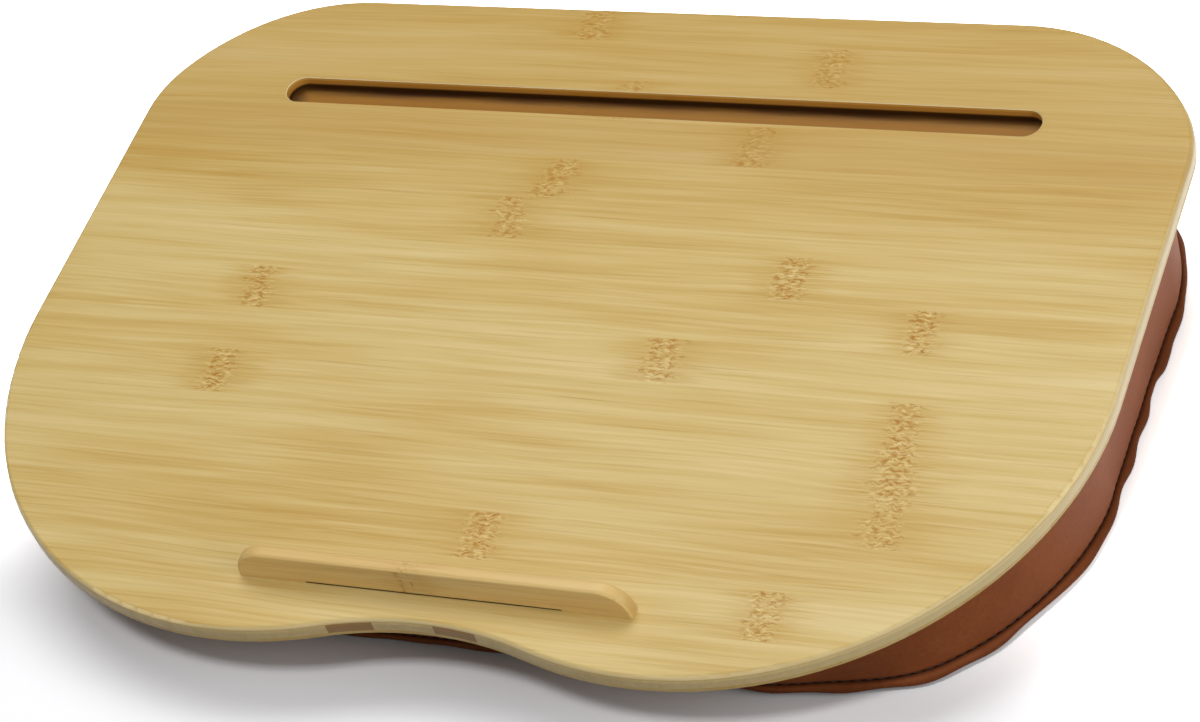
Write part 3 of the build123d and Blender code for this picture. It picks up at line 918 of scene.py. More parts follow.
@dataclass(frozen=True)
class MouldedFinish:
    """Moulded plastic or plated metal.

    Attributes:
        name: The material's name.
        colour: Its colour.
        metallic: 1 for metal, 0 for plastic.
        roughness: Its middle roughness.
    """

    name: str
    colour: Colour
    metallic: float
    roughness: float

    def build(self, groups: ShaderGroups, plane: BoardPlane) -> bpy.types.Material:
        """Return the material, with faint handling marks in its gloss."""
        finish = Finish(self.name, plane)
        graph = finish.graph
        haze = graph.noise(graph.scaled(finish.vector, (0.35, 0.35, 0.35)), 4.0, 0.65)
        fine = graph.noise(graph.scaled(finish.vector, (3.0, 3.0, 3.0)), 2.0)
        dark = darker(self.colour, 0.6)
        finish.set(base_color=graph.mix(graph.ramp(haze, 0.3, 0.7), dark, self.colour),
                   metallic=self.metallic,
                   roughness=graph.math("MULTIPLY_ADD", haze, 0.2, self.roughness - 0.1))
        finish.relief(fine, 0.00002, 0.5)
        return finish.material


@dataclass(frozen=True)
class NapFinish:
    """A napped or open surface: hook tape, loop tape or foam.

    Attributes:
        name: The material's name.
        colour: Its colour.
        cell_mm: Size of its tufts or cells.
        depth: How deep they are, in metres.
    """

    name: str
    colour: Colour
    cell_mm: float
    depth: float

    def build(self, groups: ShaderGroups, plane: BoardPlane) -> bpy.types.Material:
        """Return the material, a bed of small cells with dark pits."""
        finish = Finish(self.name, plane)
        graph = finish.graph
        per = 1 / self.cell_mm
        cells = graph.add(
            "ShaderNodeTexVoronoi",
            {"Vector": graph.scaled(finish.vector, (per, per, per)), "Scale": 1.0})
        pit = graph.ramp(cells.outputs["Distance"], 0.15, 0.75)
        dark = darker(self.colour, 0.45)
        finish.set(base_color=graph.mix(pit, self.colour, dark), roughness=0.9,
                   sheen_weight=0.3)
        finish.relief(graph.math("SUBTRACT", 1.0, pit), self.depth)
        return finish.material


def dress(node: str, material: bpy.types.Material) -> None:
    """Give a CAD node its material."""
    slots = frame["nodes"][node].data.materials
    slots.clear()
    slots.append(material)
    LOG.info("dressed %s in %s", node, material.name)


def make_piece(name: str, points: np.ndarray, faces: Sequence[Sequence[int]],
               material: bpy.types.Material) -> bpy.types.Object:
    """Make a smooth mesh object at the origin.

    Args:
        name: The object's name.
        points: Its points in the model's frame.
        faces: Point numbers of each face, anticlockwise seen from outside.
        material: Its material.

    Returns:
        The object, linked to the scene.
    """
    mesh = bpy.data.meshes.new(name)
    mesh.from_pydata(points.tolist(), [], [list(face) for face in faces])
    mesh.polygons.foreach_set("use_smooth", [True] * len(mesh.polygons))
    mesh.materials.append(material)
    mesh.update()
    piece = bpy.data.objects.new(name, mesh)
    bpy.context.scene.collection.objects.link(piece)
    return piece


def evaluated_copy(piece: bpy.types.Object) -> bpy.types.Mesh:
    """Return a piece's mesh with its modifiers applied, as a plain mesh."""
    graph = bpy.context.evaluated_depsgraph_get()
    return bpy.data.meshes.new_from_object(piece.evaluated_get(graph))


def bake_modifiers(piece: bpy.types.Object) -> None:
    """Apply a piece's modifiers to its mesh and remove them."""
    baked = evaluated_copy(piece)
    piece.modifiers.clear()
    piece.data = baked
    piece.data.name = piece.name


class StitchMaker:
    """Rows of stitches along lines, made by one Geometry Nodes tree.

    Attributes:
        tree: The Geometry Nodes tree.
    """

    def __init__(self) -> None:
        """Build the tree."""
        graph, start, end = node_group(
            "stitch row", "GeometryNodeTree",
            [Port("Line", "Geometry"), Port("Pitch", value=0.004), Port("Length", value=0.0028),
             Port("Thread", value=0.0005), Port("Material", "Material")],
            [Port("Stitches", "Geometry")])
        given = start.outputs
        curve = graph.add("GeometryNodeMeshToCurve", {"Mesh": given["Line"]}).outputs[0]
        spaced = graph.add("GeometryNodeResampleCurve", {"Curve": curve, "Length": given["Pitch"]},
                           mode="LENGTH").outputs[0]
        stitch = graph.add("GeometryNodeMeshIcoSphere", {"Radius": 0.5, "Subdivisions": 2})
        size = graph.combine(given["Length"], given["Thread"], given["Thread"])
        along = graph.add("GeometryNodeInputTangent").outputs[0]
        turn = graph.add("FunctionNodeAlignRotationToVector", {"Vector": along}, axis="X")
        placed = graph.add(
            "GeometryNodeInstanceOnPoints",
            {"Points": spaced, "Instance": stitch.outputs["Mesh"], "Rotation": turn.outputs[0],
             "Scale": size})
        plain = graph.add("GeometryNodeRealizeInstances", {"Geometry": placed.outputs[0]})
        smooth = graph.add("GeometryNodeSetShadeSmooth", {"Geometry": plain.outputs[0]})
        dressed = graph.add("GeometryNodeSetMaterial",
                            {"Geometry": smooth.outputs[0], "Material": given["Material"]})
        graph.feed(end.inputs[0], dressed.outputs[0])
        self.tree = graph.tree

    def sew(self, name: str, lines: Sequence[np.ndarray], closed: bool, pitch: float, length: float,
            thread: float, material: bpy.types.Material) -> bpy.types.Object:
        """Sew rows of stitches.

        Args:
            name: The piece's name.
            lines: The points of each row, in the model's frame.
            closed: Whether each row runs back to its first point.
            pitch: Distance from one stitch to the next.
            length: Length of one stitch.
            thread: The thread's diameter.
            material: The thread's material.

        Returns:
            One plain mesh with every stitch.
        """
        points, edges = [], []
        for line in lines:
            first = len(points)
            points.extend(line.tolist())
            edges.extend((i, i + 1) for i in range(first, len(points) - 1))
            if closed:
                edges.append((len(points) - 1, first))
        mesh = bpy.data.meshes.new(name)
        mesh.from_pydata(points, edges, [])
        piece = bpy.data.objects.new(name, mesh)
        bpy.context.scene.collection.objects.link(piece)
        modifier = piece.modifiers.new("stitches", "NODES")
        modifier.node_group = self.tree
        values = {"Pitch": pitch, "Length": length, "Thread": thread, "Material": material}
        for item in self.tree.interface.items_tree:
            if item.in_out == "INPUT" and item.name in values:
                modifier[item.identifier] = values[item.name]
        bake_modifiers(piece)
        return piece


@dataclass(frozen=True)
class CushionPlan:
    """The cushion's outline seen square to the board, in metres.

    Attributes:
        half_width: Half of its width at the corners.
        front: Its front edge, on the board's y axis.
        back: Its back edge.
        zip_half: Half of the length of the back that the zip takes.
        front_radius: Radius of its front corners.
        back_radius: Radius of its back corners.
        side_draw_in: How far the sides pull in between the corners.
        front_draw_in: How far the front pulls in.
        fuller_corner: How much further out the front right corner stands than the left one.
        side_ease: How far the sides stand outside the solid cushion.
        front_zone: Distances before the board's middle over which the front begins.
        back_zone: Distances before the back edge over which the side's ease begins.
        corner_zone: Distances from the middle over which the right corner fills out.
        spacing: Distance between points of the outline.
    """

    half_width: float
    front: float
    back: float
    zip_half: float
    front_radius: float = 0.104
    back_radius: float = 0.078
    side_draw_in: float = 0.0015
    front_draw_in: float = 0.0040
    fuller_corner: float = 0.0066
    side_ease: float = 0.0034
    front_zone: tuple[float, float] = (0.06, 0.13)
    back_zone: tuple[float, float] = (0.05, 0.15)
    corner_zone: tuple[float, float] = (0.135, 0.175)
    spacing: float = 0.0021

    def outline(self) -> tuple[np.ndarray, np.ndarray, int]:
        """Return the outline, anticlockwise seen from above, from the zip's right end.

        Returns:
            Its points, its outward normals and the number of steps along the zip.
        """
        half, low, high = self.half_width, self.front, self.back
        near, far = self.front_radius, self.back_radius
        stretches = [
            self.line((self.zip_half, high), (-self.zip_half, high)),
            self.line((-self.zip_half, high), (far - half, high)),
            self.arc((far - half, high - far), far, 90),
            self.line((-half, high - far), (-half, low + near), self.side_draw_in),
            self.arc((near - half, low + near), near, 180),
            self.line((near - half, low), (half - near, low), self.front_draw_in),
            self.arc((half - near, low + near), near, 270),
            self.line((half, low + near), (half, high - far), self.side_draw_in),
            self.arc((half - far, high - far), far, 0),
            self.line((half - far, high), (self.zip_half, high)),
        ]
        points = np.vstack(stretches)
        ahead = np.roll(points, -1, 0) - np.roll(points, 1, 0)
        ahead /= np.linalg.norm(ahead, axis=1, keepdims=True)
        normals = np.column_stack([ahead[:, 1], -ahead[:, 0]])
        to_front = smoothstep(-points[:, 1], *self.front_zone)
        ease = self.side_ease * smoothstep(high - points[:, 1], *self.back_zone) * (1 - to_front)
        ease += self.fuller_corner * to_front * smoothstep(points[:, 0], *self.corner_zone)
        return points + normals * ease[:, None], normals, len(stretches[0])

    def line(self, start: tuple[float, float], end: tuple[float, float],
             draw_in: float = 0.0) -> np.ndarray:
        """Return points along a straight stretch whose middle pulls in, without its end."""
        first, last = np.array(start), np.array(end)
        length = np.linalg.norm(last - first)
        share = np.linspace(0, 1, max(2, round(length / self.spacing)) + 1)[:-1, None]
        inward = np.array([first[1] - last[1], last[0] - first[0]]) / length
        return first + (last - first) * share + inward * draw_in * 4 * share * (1 - share)

    def arc(self, centre: tuple[float, float], radius: float, start: float) -> np.ndarray:
        """Return points along a quarter circle that starts at an angle, without its end."""
        steps = max(4, round(radius * math.pi / 2 / self.spacing))
        angle = np.radians(start + 90 * np.linspace(0, 1, steps + 1)[:-1])
        return np.array(centre) + radius * np.column_stack([np.cos(angle), np.sin(angle)])


@dataclass
class CushionCover:
    """The cushion's cover, fitted round its filling after that has swelled.

    Attributes:
        plane: The board's axes.
        plan: The cushion's outline.
        top: Level of the top panel, on the board's z axis.
        rim_lift: How far the rim's welt stands above the top panel.
        seam_height: Height of the lower seam above the floor.
        skin: Thickness of the leatherette.
        slit: Lower and upper edge of the zip's slit, on the board's z axis.
        bulge: How far the walls stand out halfway down before the filling swells.
        flare: How much further out the lower seam lies than the rim.
        groove: Depth of the lower seam.
        crown: Width over which the bottom panel curves down to the floor.
        puff: How far the bottom panel's gathers stand out.
        wall_margins: Where the wall starts under the rim and ends above the seam.
        shared_row: The rim's row that the top panel and the side band share.
        seed: Which gathers these are.
        swell: The filling's swelling, which the cover follows.
        points: The outline's points.
        normals: The outline's outward normals.
        zip_steps: Number of the outline's steps along the zip.
        gathers: How full the gathers are at each point.
    """

    plane: BoardPlane
    plan: CushionPlan
    top: float
    seam_height: float
    skin: float
    slit: tuple[float, float]
    rim_lift: float = 0.0012
    bulge: float = 0.0003
    flare: float = -0.0002
    groove: float = 0.0009
    crown: float = 0.0080
    puff: float = 0.0036
    wall_margins: tuple[float, float] = (0.0009, 0.0042)
    shared_row: int = 4
    seed: int = 7
    swell: "Swelling | None" = None
    points: np.ndarray = field(init=False)
    normals: np.ndarray = field(init=False)
    zip_steps: int = field(init=False)
    gathers: np.ndarray = field(init=False)

    def __post_init__(self) -> None:
        """Lay out the outline and its gathers."""
        self.points, self.normals, self.zip_steps = self.plan.outline()
        self.gathers = self.gather_wave()

    def gather_wave(self) -> np.ndarray:
        """Return how full the gathers are along the outline, from 0 to 1."""
        steps = np.linalg.norm(np.roll(self.points, -1, 0) - self.points, axis=1)
        turn = np.concatenate([[0], np.cumsum(steps)[:-1]]) / steps.sum() * math.tau
        chance = np.random.default_rng(self.seed)
        wave = np.zeros(len(turn))
        for number in range(14, 60):
            strength = chance.uniform(0.2, 1.0) / number ** 0.9
            wave += strength * np.sin(number * turn + chance.uniform(0, math.tau))
        return smoothstep(wave / np.abs(wave).max(), -0.9, 0.9)

    def looseness(self) -> np.ndarray:
        """Return how loose the bottom panel is, 1 at the sides and less along the front."""
        along_front = smoothstep(-self.points[:, 1], 0.115, 0.130)
        return 1 - 0.6 * along_front * (1 - smoothstep(self.points[:, 0], 0.10, 0.15))

    def seam_level(self) -> np.ndarray:
        """Return the lower seam's level under each point of the outline, on the board's axes."""
        on_floor = -self.plane.origin.z + self.seam_height
        lean = math.cos(self.plane.tilt)
        return (on_floor - self.points[:, 1] * math.sin(self.plane.tilt)) / lean

    def row(self, outward: np.ndarray | float, level: np.ndarray | float) -> np.ndarray:
        """Return one row of the cover round the outline.

        Args:
            outward: Distance outside the outline.
            level: Level on the board's z axis.

        Returns:
            The row's points in the model's frame.
        """
        count = len(self.points)
        flat = self.points + self.normals * np.broadcast_to(outward, count)[:, None]
        return self.plane.to_model(np.column_stack([flat, np.broadcast_to(level, count)]))

    def rim_rows(self) -> list[np.ndarray]:
        """Return the rows over the rim's welt, from the top panel to the wall."""
        lift = self.rim_lift
        profile = [(-0.0140, 0.0), (-0.0100, 0.1), (-0.0070, 0.42), (-0.0048, 0.80),
                   (-0.0032, 0.98), (-0.0020, 0.97), (-0.0010, 0.75), (-0.0004, 0.35),
                   (-0.0001, -0.15)]
        return [self.row(out, self.top + lift * share) for out, share in profile]

    def wall_levels(self) -> tuple[float, np.ndarray]:
        """Return the wall's upper level and its lower one under each point of the outline."""
        under_rim, above_seam = self.wall_margins
        return self.top - under_rim, self.seam_level() + above_seam

    def slit_shares(self) -> list[float]:
        """Return how far down the back wall the two edges of the zip's slit lie."""
        first, last = self.wall_levels()
        return [(edge - first) / (last[0] - first) for edge in self.slit]

    def wall_rows(self) -> tuple[list[np.ndarray], list[float], list[float]]:
        """Return the wall's rows from under the rim to the seam.

        Returns:
            The rows, how far down the wall each one is, and how deep in the seam's groove,
            which sets the painted shade there.
        """
        seam = self.seam_level()
        first, last = self.wall_levels()
        shares = sorted([*np.linspace(0, 1, 17), *self.slit_shares()])
        middle = 4 * self.bulge
        rows, downs, painted_crease_shares = [], [], []
        for share in shares:
            down = share * 0.9 + 0.03
            out = middle * down * (1 - down) + self.flare * share - 0.0001
            rows.append(self.row(out, first + (last - first) * share))
            downs.append(share)
            painted_crease_shares.append(0.0)
        for above, depth in ((0.0030, 0.0), (0.0018, 0.06), (0.0010, 0.25), (0.0005, 0.62),
                             (0.0, 1.0)):
            pucker = (1 - self.gathers) * 0.0003 * (1 - above / 0.004)
            rows.append(self.row(self.flare - self.groove * depth - pucker, seam + above))
            downs.append(1.0)
            painted_crease_shares.append(depth)
        return rows, downs, painted_crease_shares

    def crown_rows(self) -> tuple[list[np.ndarray], list[float]]:
        """Return the bottom panel's rows from the seam to where it lies flat.

        Returns:
            The rows and how much painted shade each one gets: deep in the seam's groove,
            and a lighter painted shade over the roll down to the floor.
        """
        seam = self.seam_level()
        floor = -self.plane.origin.z - self.points[:, 1] * math.sin(self.plane.tilt)
        floor = floor / math.cos(self.plane.tilt)
        rows, painted_crease_shares = [], []
        for turn, depth in ((0, 1.0), (4, 0.62), (8, 0.25), (13, 0.06), (20, 0), (28, 0), (37, 0),
                            (46, 0), (56, 0), (65, 0), (73, 0), (80, 0), (86, 0), (90, 0)):
            angle = math.radians(turn)
            full = math.sin(2 * angle) ** 0.8 if turn < 90 else 0.0
            out = self.flare - self.crown * (1 - math.cos(angle)) ** 1.3 - self.groove * depth
            out = out + self.puff * full * (0.55 + 0.5 * self.gathers) * self.looseness()
            drop = (floor - seam) * math.sin(angle)
            lower = 0.0009 * full * (1 - self.gathers) * (1 - depth)
            rows.append(self.row(out, seam + drop + lower))
            # Painted shade: deep in the seam's groove, and 0.42 over the roll down to the floor.
            painted_crease_shares.append(max(depth, 0.42 * min(1.0, turn / 20)))
        return rows, painted_crease_shares

    def swollen(self, rows: np.ndarray) -> np.ndarray:
        """Carry the filling's swelling to rows of the cover."""
        if self.swell is None:
            return rows
        return self.swell.carry(rows)


@dataclass
class Swelling:
    """How the cushion's filling moves when it is blown up as cloth.

    Attributes:
        voxel: Size of the remesh.
        pressure: Pressure of the cloth simulation.
        last_frame: Its last frame.
        cap: The furthest that a point may move.
        ceiling: The highest level that it may reach, on the board's z axis.
        zip_zone: Lowest corner of the space round the zip, which doesn't swell.
    """

    plane: BoardPlane
    ceiling: float
    zip_zone: np.ndarray
    voxel: float = 0.005
    pressure: float = 4.0
    last_frame: int = 20
    cap: float = 0.0010
    rest: np.ndarray = field(default=None, init=False)
    moves: np.ndarray = field(default=None, init=False)
    tree: KDTree = field(default=None, init=False)

    def blow_up(self, source: bpy.types.Object, name: str,
                material: bpy.types.Material) -> bpy.types.Object:
        """Remesh a copy of a solid, swell it as cloth and keep how each point moved.

        Args:
            source: The CAD solid.
            name: The new piece's name.
            material: Its material.

        Returns:
            The swollen piece.
        """
        mesh = source.data.copy()
        mesh.name = name
        piece = bpy.data.objects.new(name, mesh)
        bpy.context.scene.collection.objects.link(piece)
        mesh.materials.clear()
        mesh.materials.append(material)
        weld = piece.modifiers.new("weld", "WELD")
        weld.merge_threshold = 0.00001
        remesh = piece.modifiers.new("remesh", "REMESH")
        remesh.mode = "VOXEL"
        remesh.voxel_size = self.voxel
        remesh.use_smooth_shade = True
        bake_modifiers(piece)
        self.rest = mesh_points(piece.data)
        moved = self.rest.copy()
        moved = self.simulate(piece)
        self.moves = self.limited(moved - self.rest)
        self.tree = KDTree(len(self.rest))
        for index, point in enumerate(self.rest):
            self.tree.insert(point, index)
        self.tree.balance()
        set_mesh_points(piece.data, self.rest + self.moves)
        return piece

    def simulate(self, piece: bpy.types.Object) -> np.ndarray:
        """Run the cloth simulation.

        Args:
            piece: The remeshed filling.

        Returns:
            Where its points end up.
        """
        board = self.plane.to_board(self.rest)
        held = board[:, 1] > self.zip_zone[1]
        pins = piece.vertex_groups.new(name="held")
        pins.add([int(i) for i in np.flatnonzero(held)], 1.0, "REPLACE")
        cloth = piece.modifiers.new("cloth", "CLOTH")
        settings = cloth.settings
        settings.use_pressure = True
        settings.uniform_pressure_force = self.pressure
        settings.effector_weights.gravity = 0
        settings.vertex_group_mass = pins.name
        settings.quality = 5
        cloth.point_cache.frame_start = 1
        cloth.point_cache.frame_end = self.last_frame
        scene = bpy.context.scene
        for number in range(1, self.last_frame + 1):
            scene.frame_set(number)
        swelled = evaluated_copy(piece)
        points = mesh_points(swelled)
        bpy.data.meshes.remove(swelled)
        piece.modifiers.clear()
        piece.vertex_groups.clear()
        scene.frame_set(1)
        return points

    def limited(self, moves: np.ndarray) -> np.ndarray:
        """Return moves capped, held off the board and the floor, and still at the zip.

        Args:
            moves: How far each point moved.

        Returns:
            How far each point may move.
        """
        length = np.linalg.norm(moves, axis=1, keepdims=True)
        capped = moves * np.minimum(1, self.cap / np.maximum(length, 1e-9))
        board = self.plane.to_board(self.rest)
        still = smoothstep(board[:, 1], self.zip_zone[1] - 0.02, self.zip_zone[1])
        capped *= (1 - still)[:, None]
        target = self.plane.to_board(self.rest + capped)
        target[:, 2] = np.minimum(target[:, 2], np.maximum(board[:, 2], self.ceiling))
        points = self.plane.to_model(target)
        points[:, 2] = np.maximum(points[:, 2], np.minimum(self.rest[:, 2], self.voxel / 4))
        return points - self.rest

    def carry(self, points: np.ndarray) -> np.ndarray:
        """Return points moved as the filling near them moved.

        Args:
            points: Points near the filling, in the model's frame.

        Returns:
            The moved points.
        """
        flat = points.reshape(-1, 3)
        moved = flat.copy()
        for number, point in enumerate(flat):
            near = self.tree.find_n(point, 6)
            weights = np.array([1 / (distance + 0.002) ** 2 for _, _, distance in near])
            picked = self.moves[[index for _, index, _ in near]]
            moved[number] += (picked * weights[:, None]).sum(0) / weights.sum()
        return moved.reshape(points.shape)


def ring_faces(rows: int, columns: int, skip: Sequence[tuple[int, int]] = (),
               skip_columns: int = 0) -> list[tuple[int, int, int, int]]:
    """Return the faces of a grid that closes round on itself.

    Args:
        rows: Number of rows, from top to bottom.
        columns: Points in a row, anticlockwise seen from above.
        skip: Rows that are left open, as first and last.
        skip_columns: Over how many columns they are left open.

    Returns:
        Faces that point outwards.
    """
    faces = []
    for row in range(rows - 1):
        open_row = any(first <= row < last for first, last in skip)
        for column in range(columns):
            if open_row and column < skip_columns:
                continue
            beside = (column + 1) % columns
            low, high = (row + 1) * columns, row * columns
            faces.append((high + column, low + column, low + beside, high + beside))
    return faces


@dataclass
class Palette:
    """Every material of the object.

    Attributes:
        groups: The shared shader groups.
        plane: The board's axes.
        marks: The culm nodes on the board's face.
        slot_mark: The culm node on the slot's floor.
        bar_mark: The culm node on the ledge bar.
        rich_strip: The face's strip of richer tone, before the slot.
        end_grain: The core's brown strips, which show at the edge.
    """

    groups: ShaderGroups
    plane: BoardPlane
    marks: tuple[NodeMark, ...] = (
        NodeMark(-36.8, 149.6, 9.2, 6.5, -0.12),
        NodeMark(69.8, 130.0, 10.6, 6.0, -0.04),
        NodeMark(-10.5, 108.5, 10.6, 6.0, 0.25, 0.9),
        NodeMark(51.8, 87.0, 10.6, 6.0, 0.01),
        NodeMark(-24.3, 65.5, 10.6, 6.5, 0.18),
        NodeMark(-36.5, 44.1, 10.6, 6.0, -0.25, 0.9),
        NodeMark(86.4, 22.6, 10.6, 6.0, -0.02),
        NodeMark(-128.4, 1.1, 10.6, 5.5, -0.16),
        NodeMark(-127.2, -41.8, 10.6, 6.0, -0.10),
        NodeMark(48.6, -20.4, 10.6, 6.5, -0.02),
        NodeMark(142.8, 1.1, 10.6, 5.5, -0.10),
        NodeMark(148.6, -41.8, 10.8, 5.0, -0.12),
        NodeMark(151.2, -63.3, 10.8, 7.5, -0.12),
        NodeMark(153.7, -84.8, 10.8, 7.0, -0.12, 0.8),
        NodeMark(7.5, -106.3, 10.6, 6.5, -0.08),
        NodeMark(123.0, -127.8, 10.6, 6.0, -0.02),
    )
    slot_mark: NodeMark = NodeMark(-34.0, 109.0, 10.4, 6.0, 0.1)
    bar_mark: NodeMark = NodeMark(-5.5, -132.0, 12.0, 4.5, 0.0, 0.8)
    rich_strip: Patch = Patch(0.0, 87.0, 300.0, 10.7, display(178, 134, 56), 0.22)
    end_grain: tuple[Patch, ...] = tuple(
        Patch(x_mm, 0.0, 8.5, 400.0, display(146, 98, 44), 0.8) for x_mm in (-28.0, 12.5))

    def __post_init__(self) -> None:
        """Build the materials."""
        slot_plan = SlotPlan.measure(self.plane)
        core_low, core_high = self.plane.extent("core_strips")
        glue = (float(core_low[2]) / MM, float(core_high[2]) / MM)
        self.face = self.make(BambooFinish(
            "bamboo face", Fibre.SIDEWAYS, pale=display(218, 196, 138), base=display(206, 178, 110),
            golden=display(190, 152, 72), vein=display(158, 114, 46), strip_mm=21.48,
            # The slot colour is a bright golden that paints light on the slot's walls in the face
            # ply.
            start_mm=-138.5, seed=3.0, marks=self.marks, slot=display(232, 176, 76),
            # The rim colour is a painted highlight on the eased edges and on the slot's lip.
            rim=display(236, 214, 164), slot_plan=slot_plan, glue_mm=glue,
            # The tone towards the back is painted shade, and the patch under the ledge bar is
            # painted shade too.
            back_painted_shade=display(184, 142, 62), patches=(self.bar_shade(), self.rich_strip)))
        self.core = self.make(BambooFinish(
            "bamboo core", Fibre.BACKWARDS, pale=display(226, 204, 150),
            base=display(214, 188, 130),
            golden=display(196, 164, 102), vein=display(150, 110, 56), strip_mm=22.0, seed=11.0,
            # The slot colour is a golden that paints light on the upper slot walls; the painted
            # slot shade darkens them lower down.
            contrast=0.6, slot=display(206, 146, 56), slot_plan=slot_plan, glue_mm=glue,
            flanks=display(228, 206, 152), patches=self.end_grain))
        self.back = self.make(BambooFinish(
            "bamboo back", Fibre.SIDEWAYS, pale=display(222, 196, 134), base=display(208, 176, 106),
            golden=display(190, 148, 70), vein=display(150, 104, 44), start_mm=-138.5, seed=23.0,
            # The slot colour is the floor's brown, partly painted shade; the painted slot shade
            # darkens it towards the back wall and the left end.
            slot=display(144, 94, 8), slot_plan=slot_plan, marks=(self.slot_mark,)))
        # The bar's pale base is painted light for its front face; the patch on its top keeps the
        # top darker.
        self.bar = self.make(BambooFinish(
            "bamboo bar", Fibre.SIDEWAYS, pale=display(252, 226, 158), base=display(246, 210, 136),
            golden=display(224, 178, 98), vein=display(170, 122, 52), strip_mm=60.0,
            start_mm=-160.0, seed=31.0, contrast=0.8, marks=(self.bar_mark,),
            patches=(self.bar_top_painted_darker(),)))
        self.dowel = self.make(BambooFinish(
            "birch dowel", Fibre.SIDEWAYS, pale=display(232, 214, 178), base=display(220, 198, 158),
            golden=display(204, 178, 132), vein=display(176, 146, 100), gloss=0.6))
        # The leatherette's darkest colour is painted shade, laid in the seams and over the bottom
        # panel's roll.
        self.leather = self.make(LeatherFinish(
            "brown leatherette", base=display(158, 89, 48), deep=display(136, 72, 37),
            painted_crease_shade=display(34, 15, 9)))
        self.thread = self.make(ThreadFinish("dark brown thread", display(38, 22, 17)))
        self.zip_thread = self.make(ThreadFinish("brown thread", display(92, 52, 34)))
        self.tape = self.make(WovenFinish("zip tape", display(84, 50, 36)))
        self.teeth = self.make(MouldedFinish("zip teeth", display(70, 42, 30), 0.0, 0.42))
        self.slider = self.make(MouldedFinish(
            "plated zip slider", display(150, 128, 96), 1.0, 0.34))
        self.hooks = self.make(NapFinish("hook and loop tape", display(38, 36, 34), 0.7, 0.0003))
        self.foam = self.make(NapFinish("cushion foam", display(226, 218, 196), 0.9, 0.0004))

    def on_bar(self, back: float, longer: float, deeper: float, colour: Colour,
               share: float) -> Patch:
        """Return a patch laid out from the ledge bar's plan.

        Args:
            back: How far it lies behind the bar's middle, in millimetres.
            longer: How much longer its half is than the bar's.
            deeper: How much deeper its half is.
            colour: Its tone.
            share: How strongly the tone shows.

        Returns:
            The patch.
        """
        low, high = self.plane.extent("ledge_bar")
        middle, half = (low + high) / 2 / MM, (high - low) / 2 / MM
        return Patch(float(middle[0]), float(middle[1]) + back, float(half[0]) + longer,
                     float(half[1]) + deeper, colour, share)

    def bar_shade(self) -> Patch:
        """Return the shade on the board under the relief of the ledge bar."""
        return self.on_bar(0.0, -24.0, -0.15, display(56, 30, 10), 0.9)

    def bar_top_painted_darker(self) -> Patch:
        """Return a darker patch on the ledge bar's top, behind its front face: the bar's pale base
        paints light on the front face, and this patch keeps the top darker than it.
        """
        return self.on_bar(0.5, 1.0, 0.0, display(190, 158, 100), 0.55)

    def make(self, finish: object) -> bpy.types.Material:
        """Return a finish's material."""
        return finish.build(self.groups, self.plane)


class Tray:
    """The bamboo board with its ledge bar, which keeps its CAD shapes."""

    def dress(self, palette: Palette) -> None:
        """Give each of the board's nodes its material."""
        dress("top_ply", palette.face)
        dress("core_strips", palette.core)
        dress("bottom_ply", palette.back)
        dress("ledge_bar", palette.bar)
        dress("ledge_dowels", palette.dowel)
        dress("hook_pads", palette.hooks)


class Zip:
    """The zip at the back of the cushion, which keeps its CAD shapes."""

    def dress(self, palette: Palette) -> None:
        """Give each of the zip's nodes its material."""
        for node in ("zip_tape_upper", "zip_tape_lower"):
            dress(node, palette.tape)
        for node in ("zip_teeth_upper", "zip_teeth_lower", "zip_stops"):
            dress(node, palette.teeth)
        for node in ("zip_slider", "zip_pull"):
            dress(node, palette.slider)


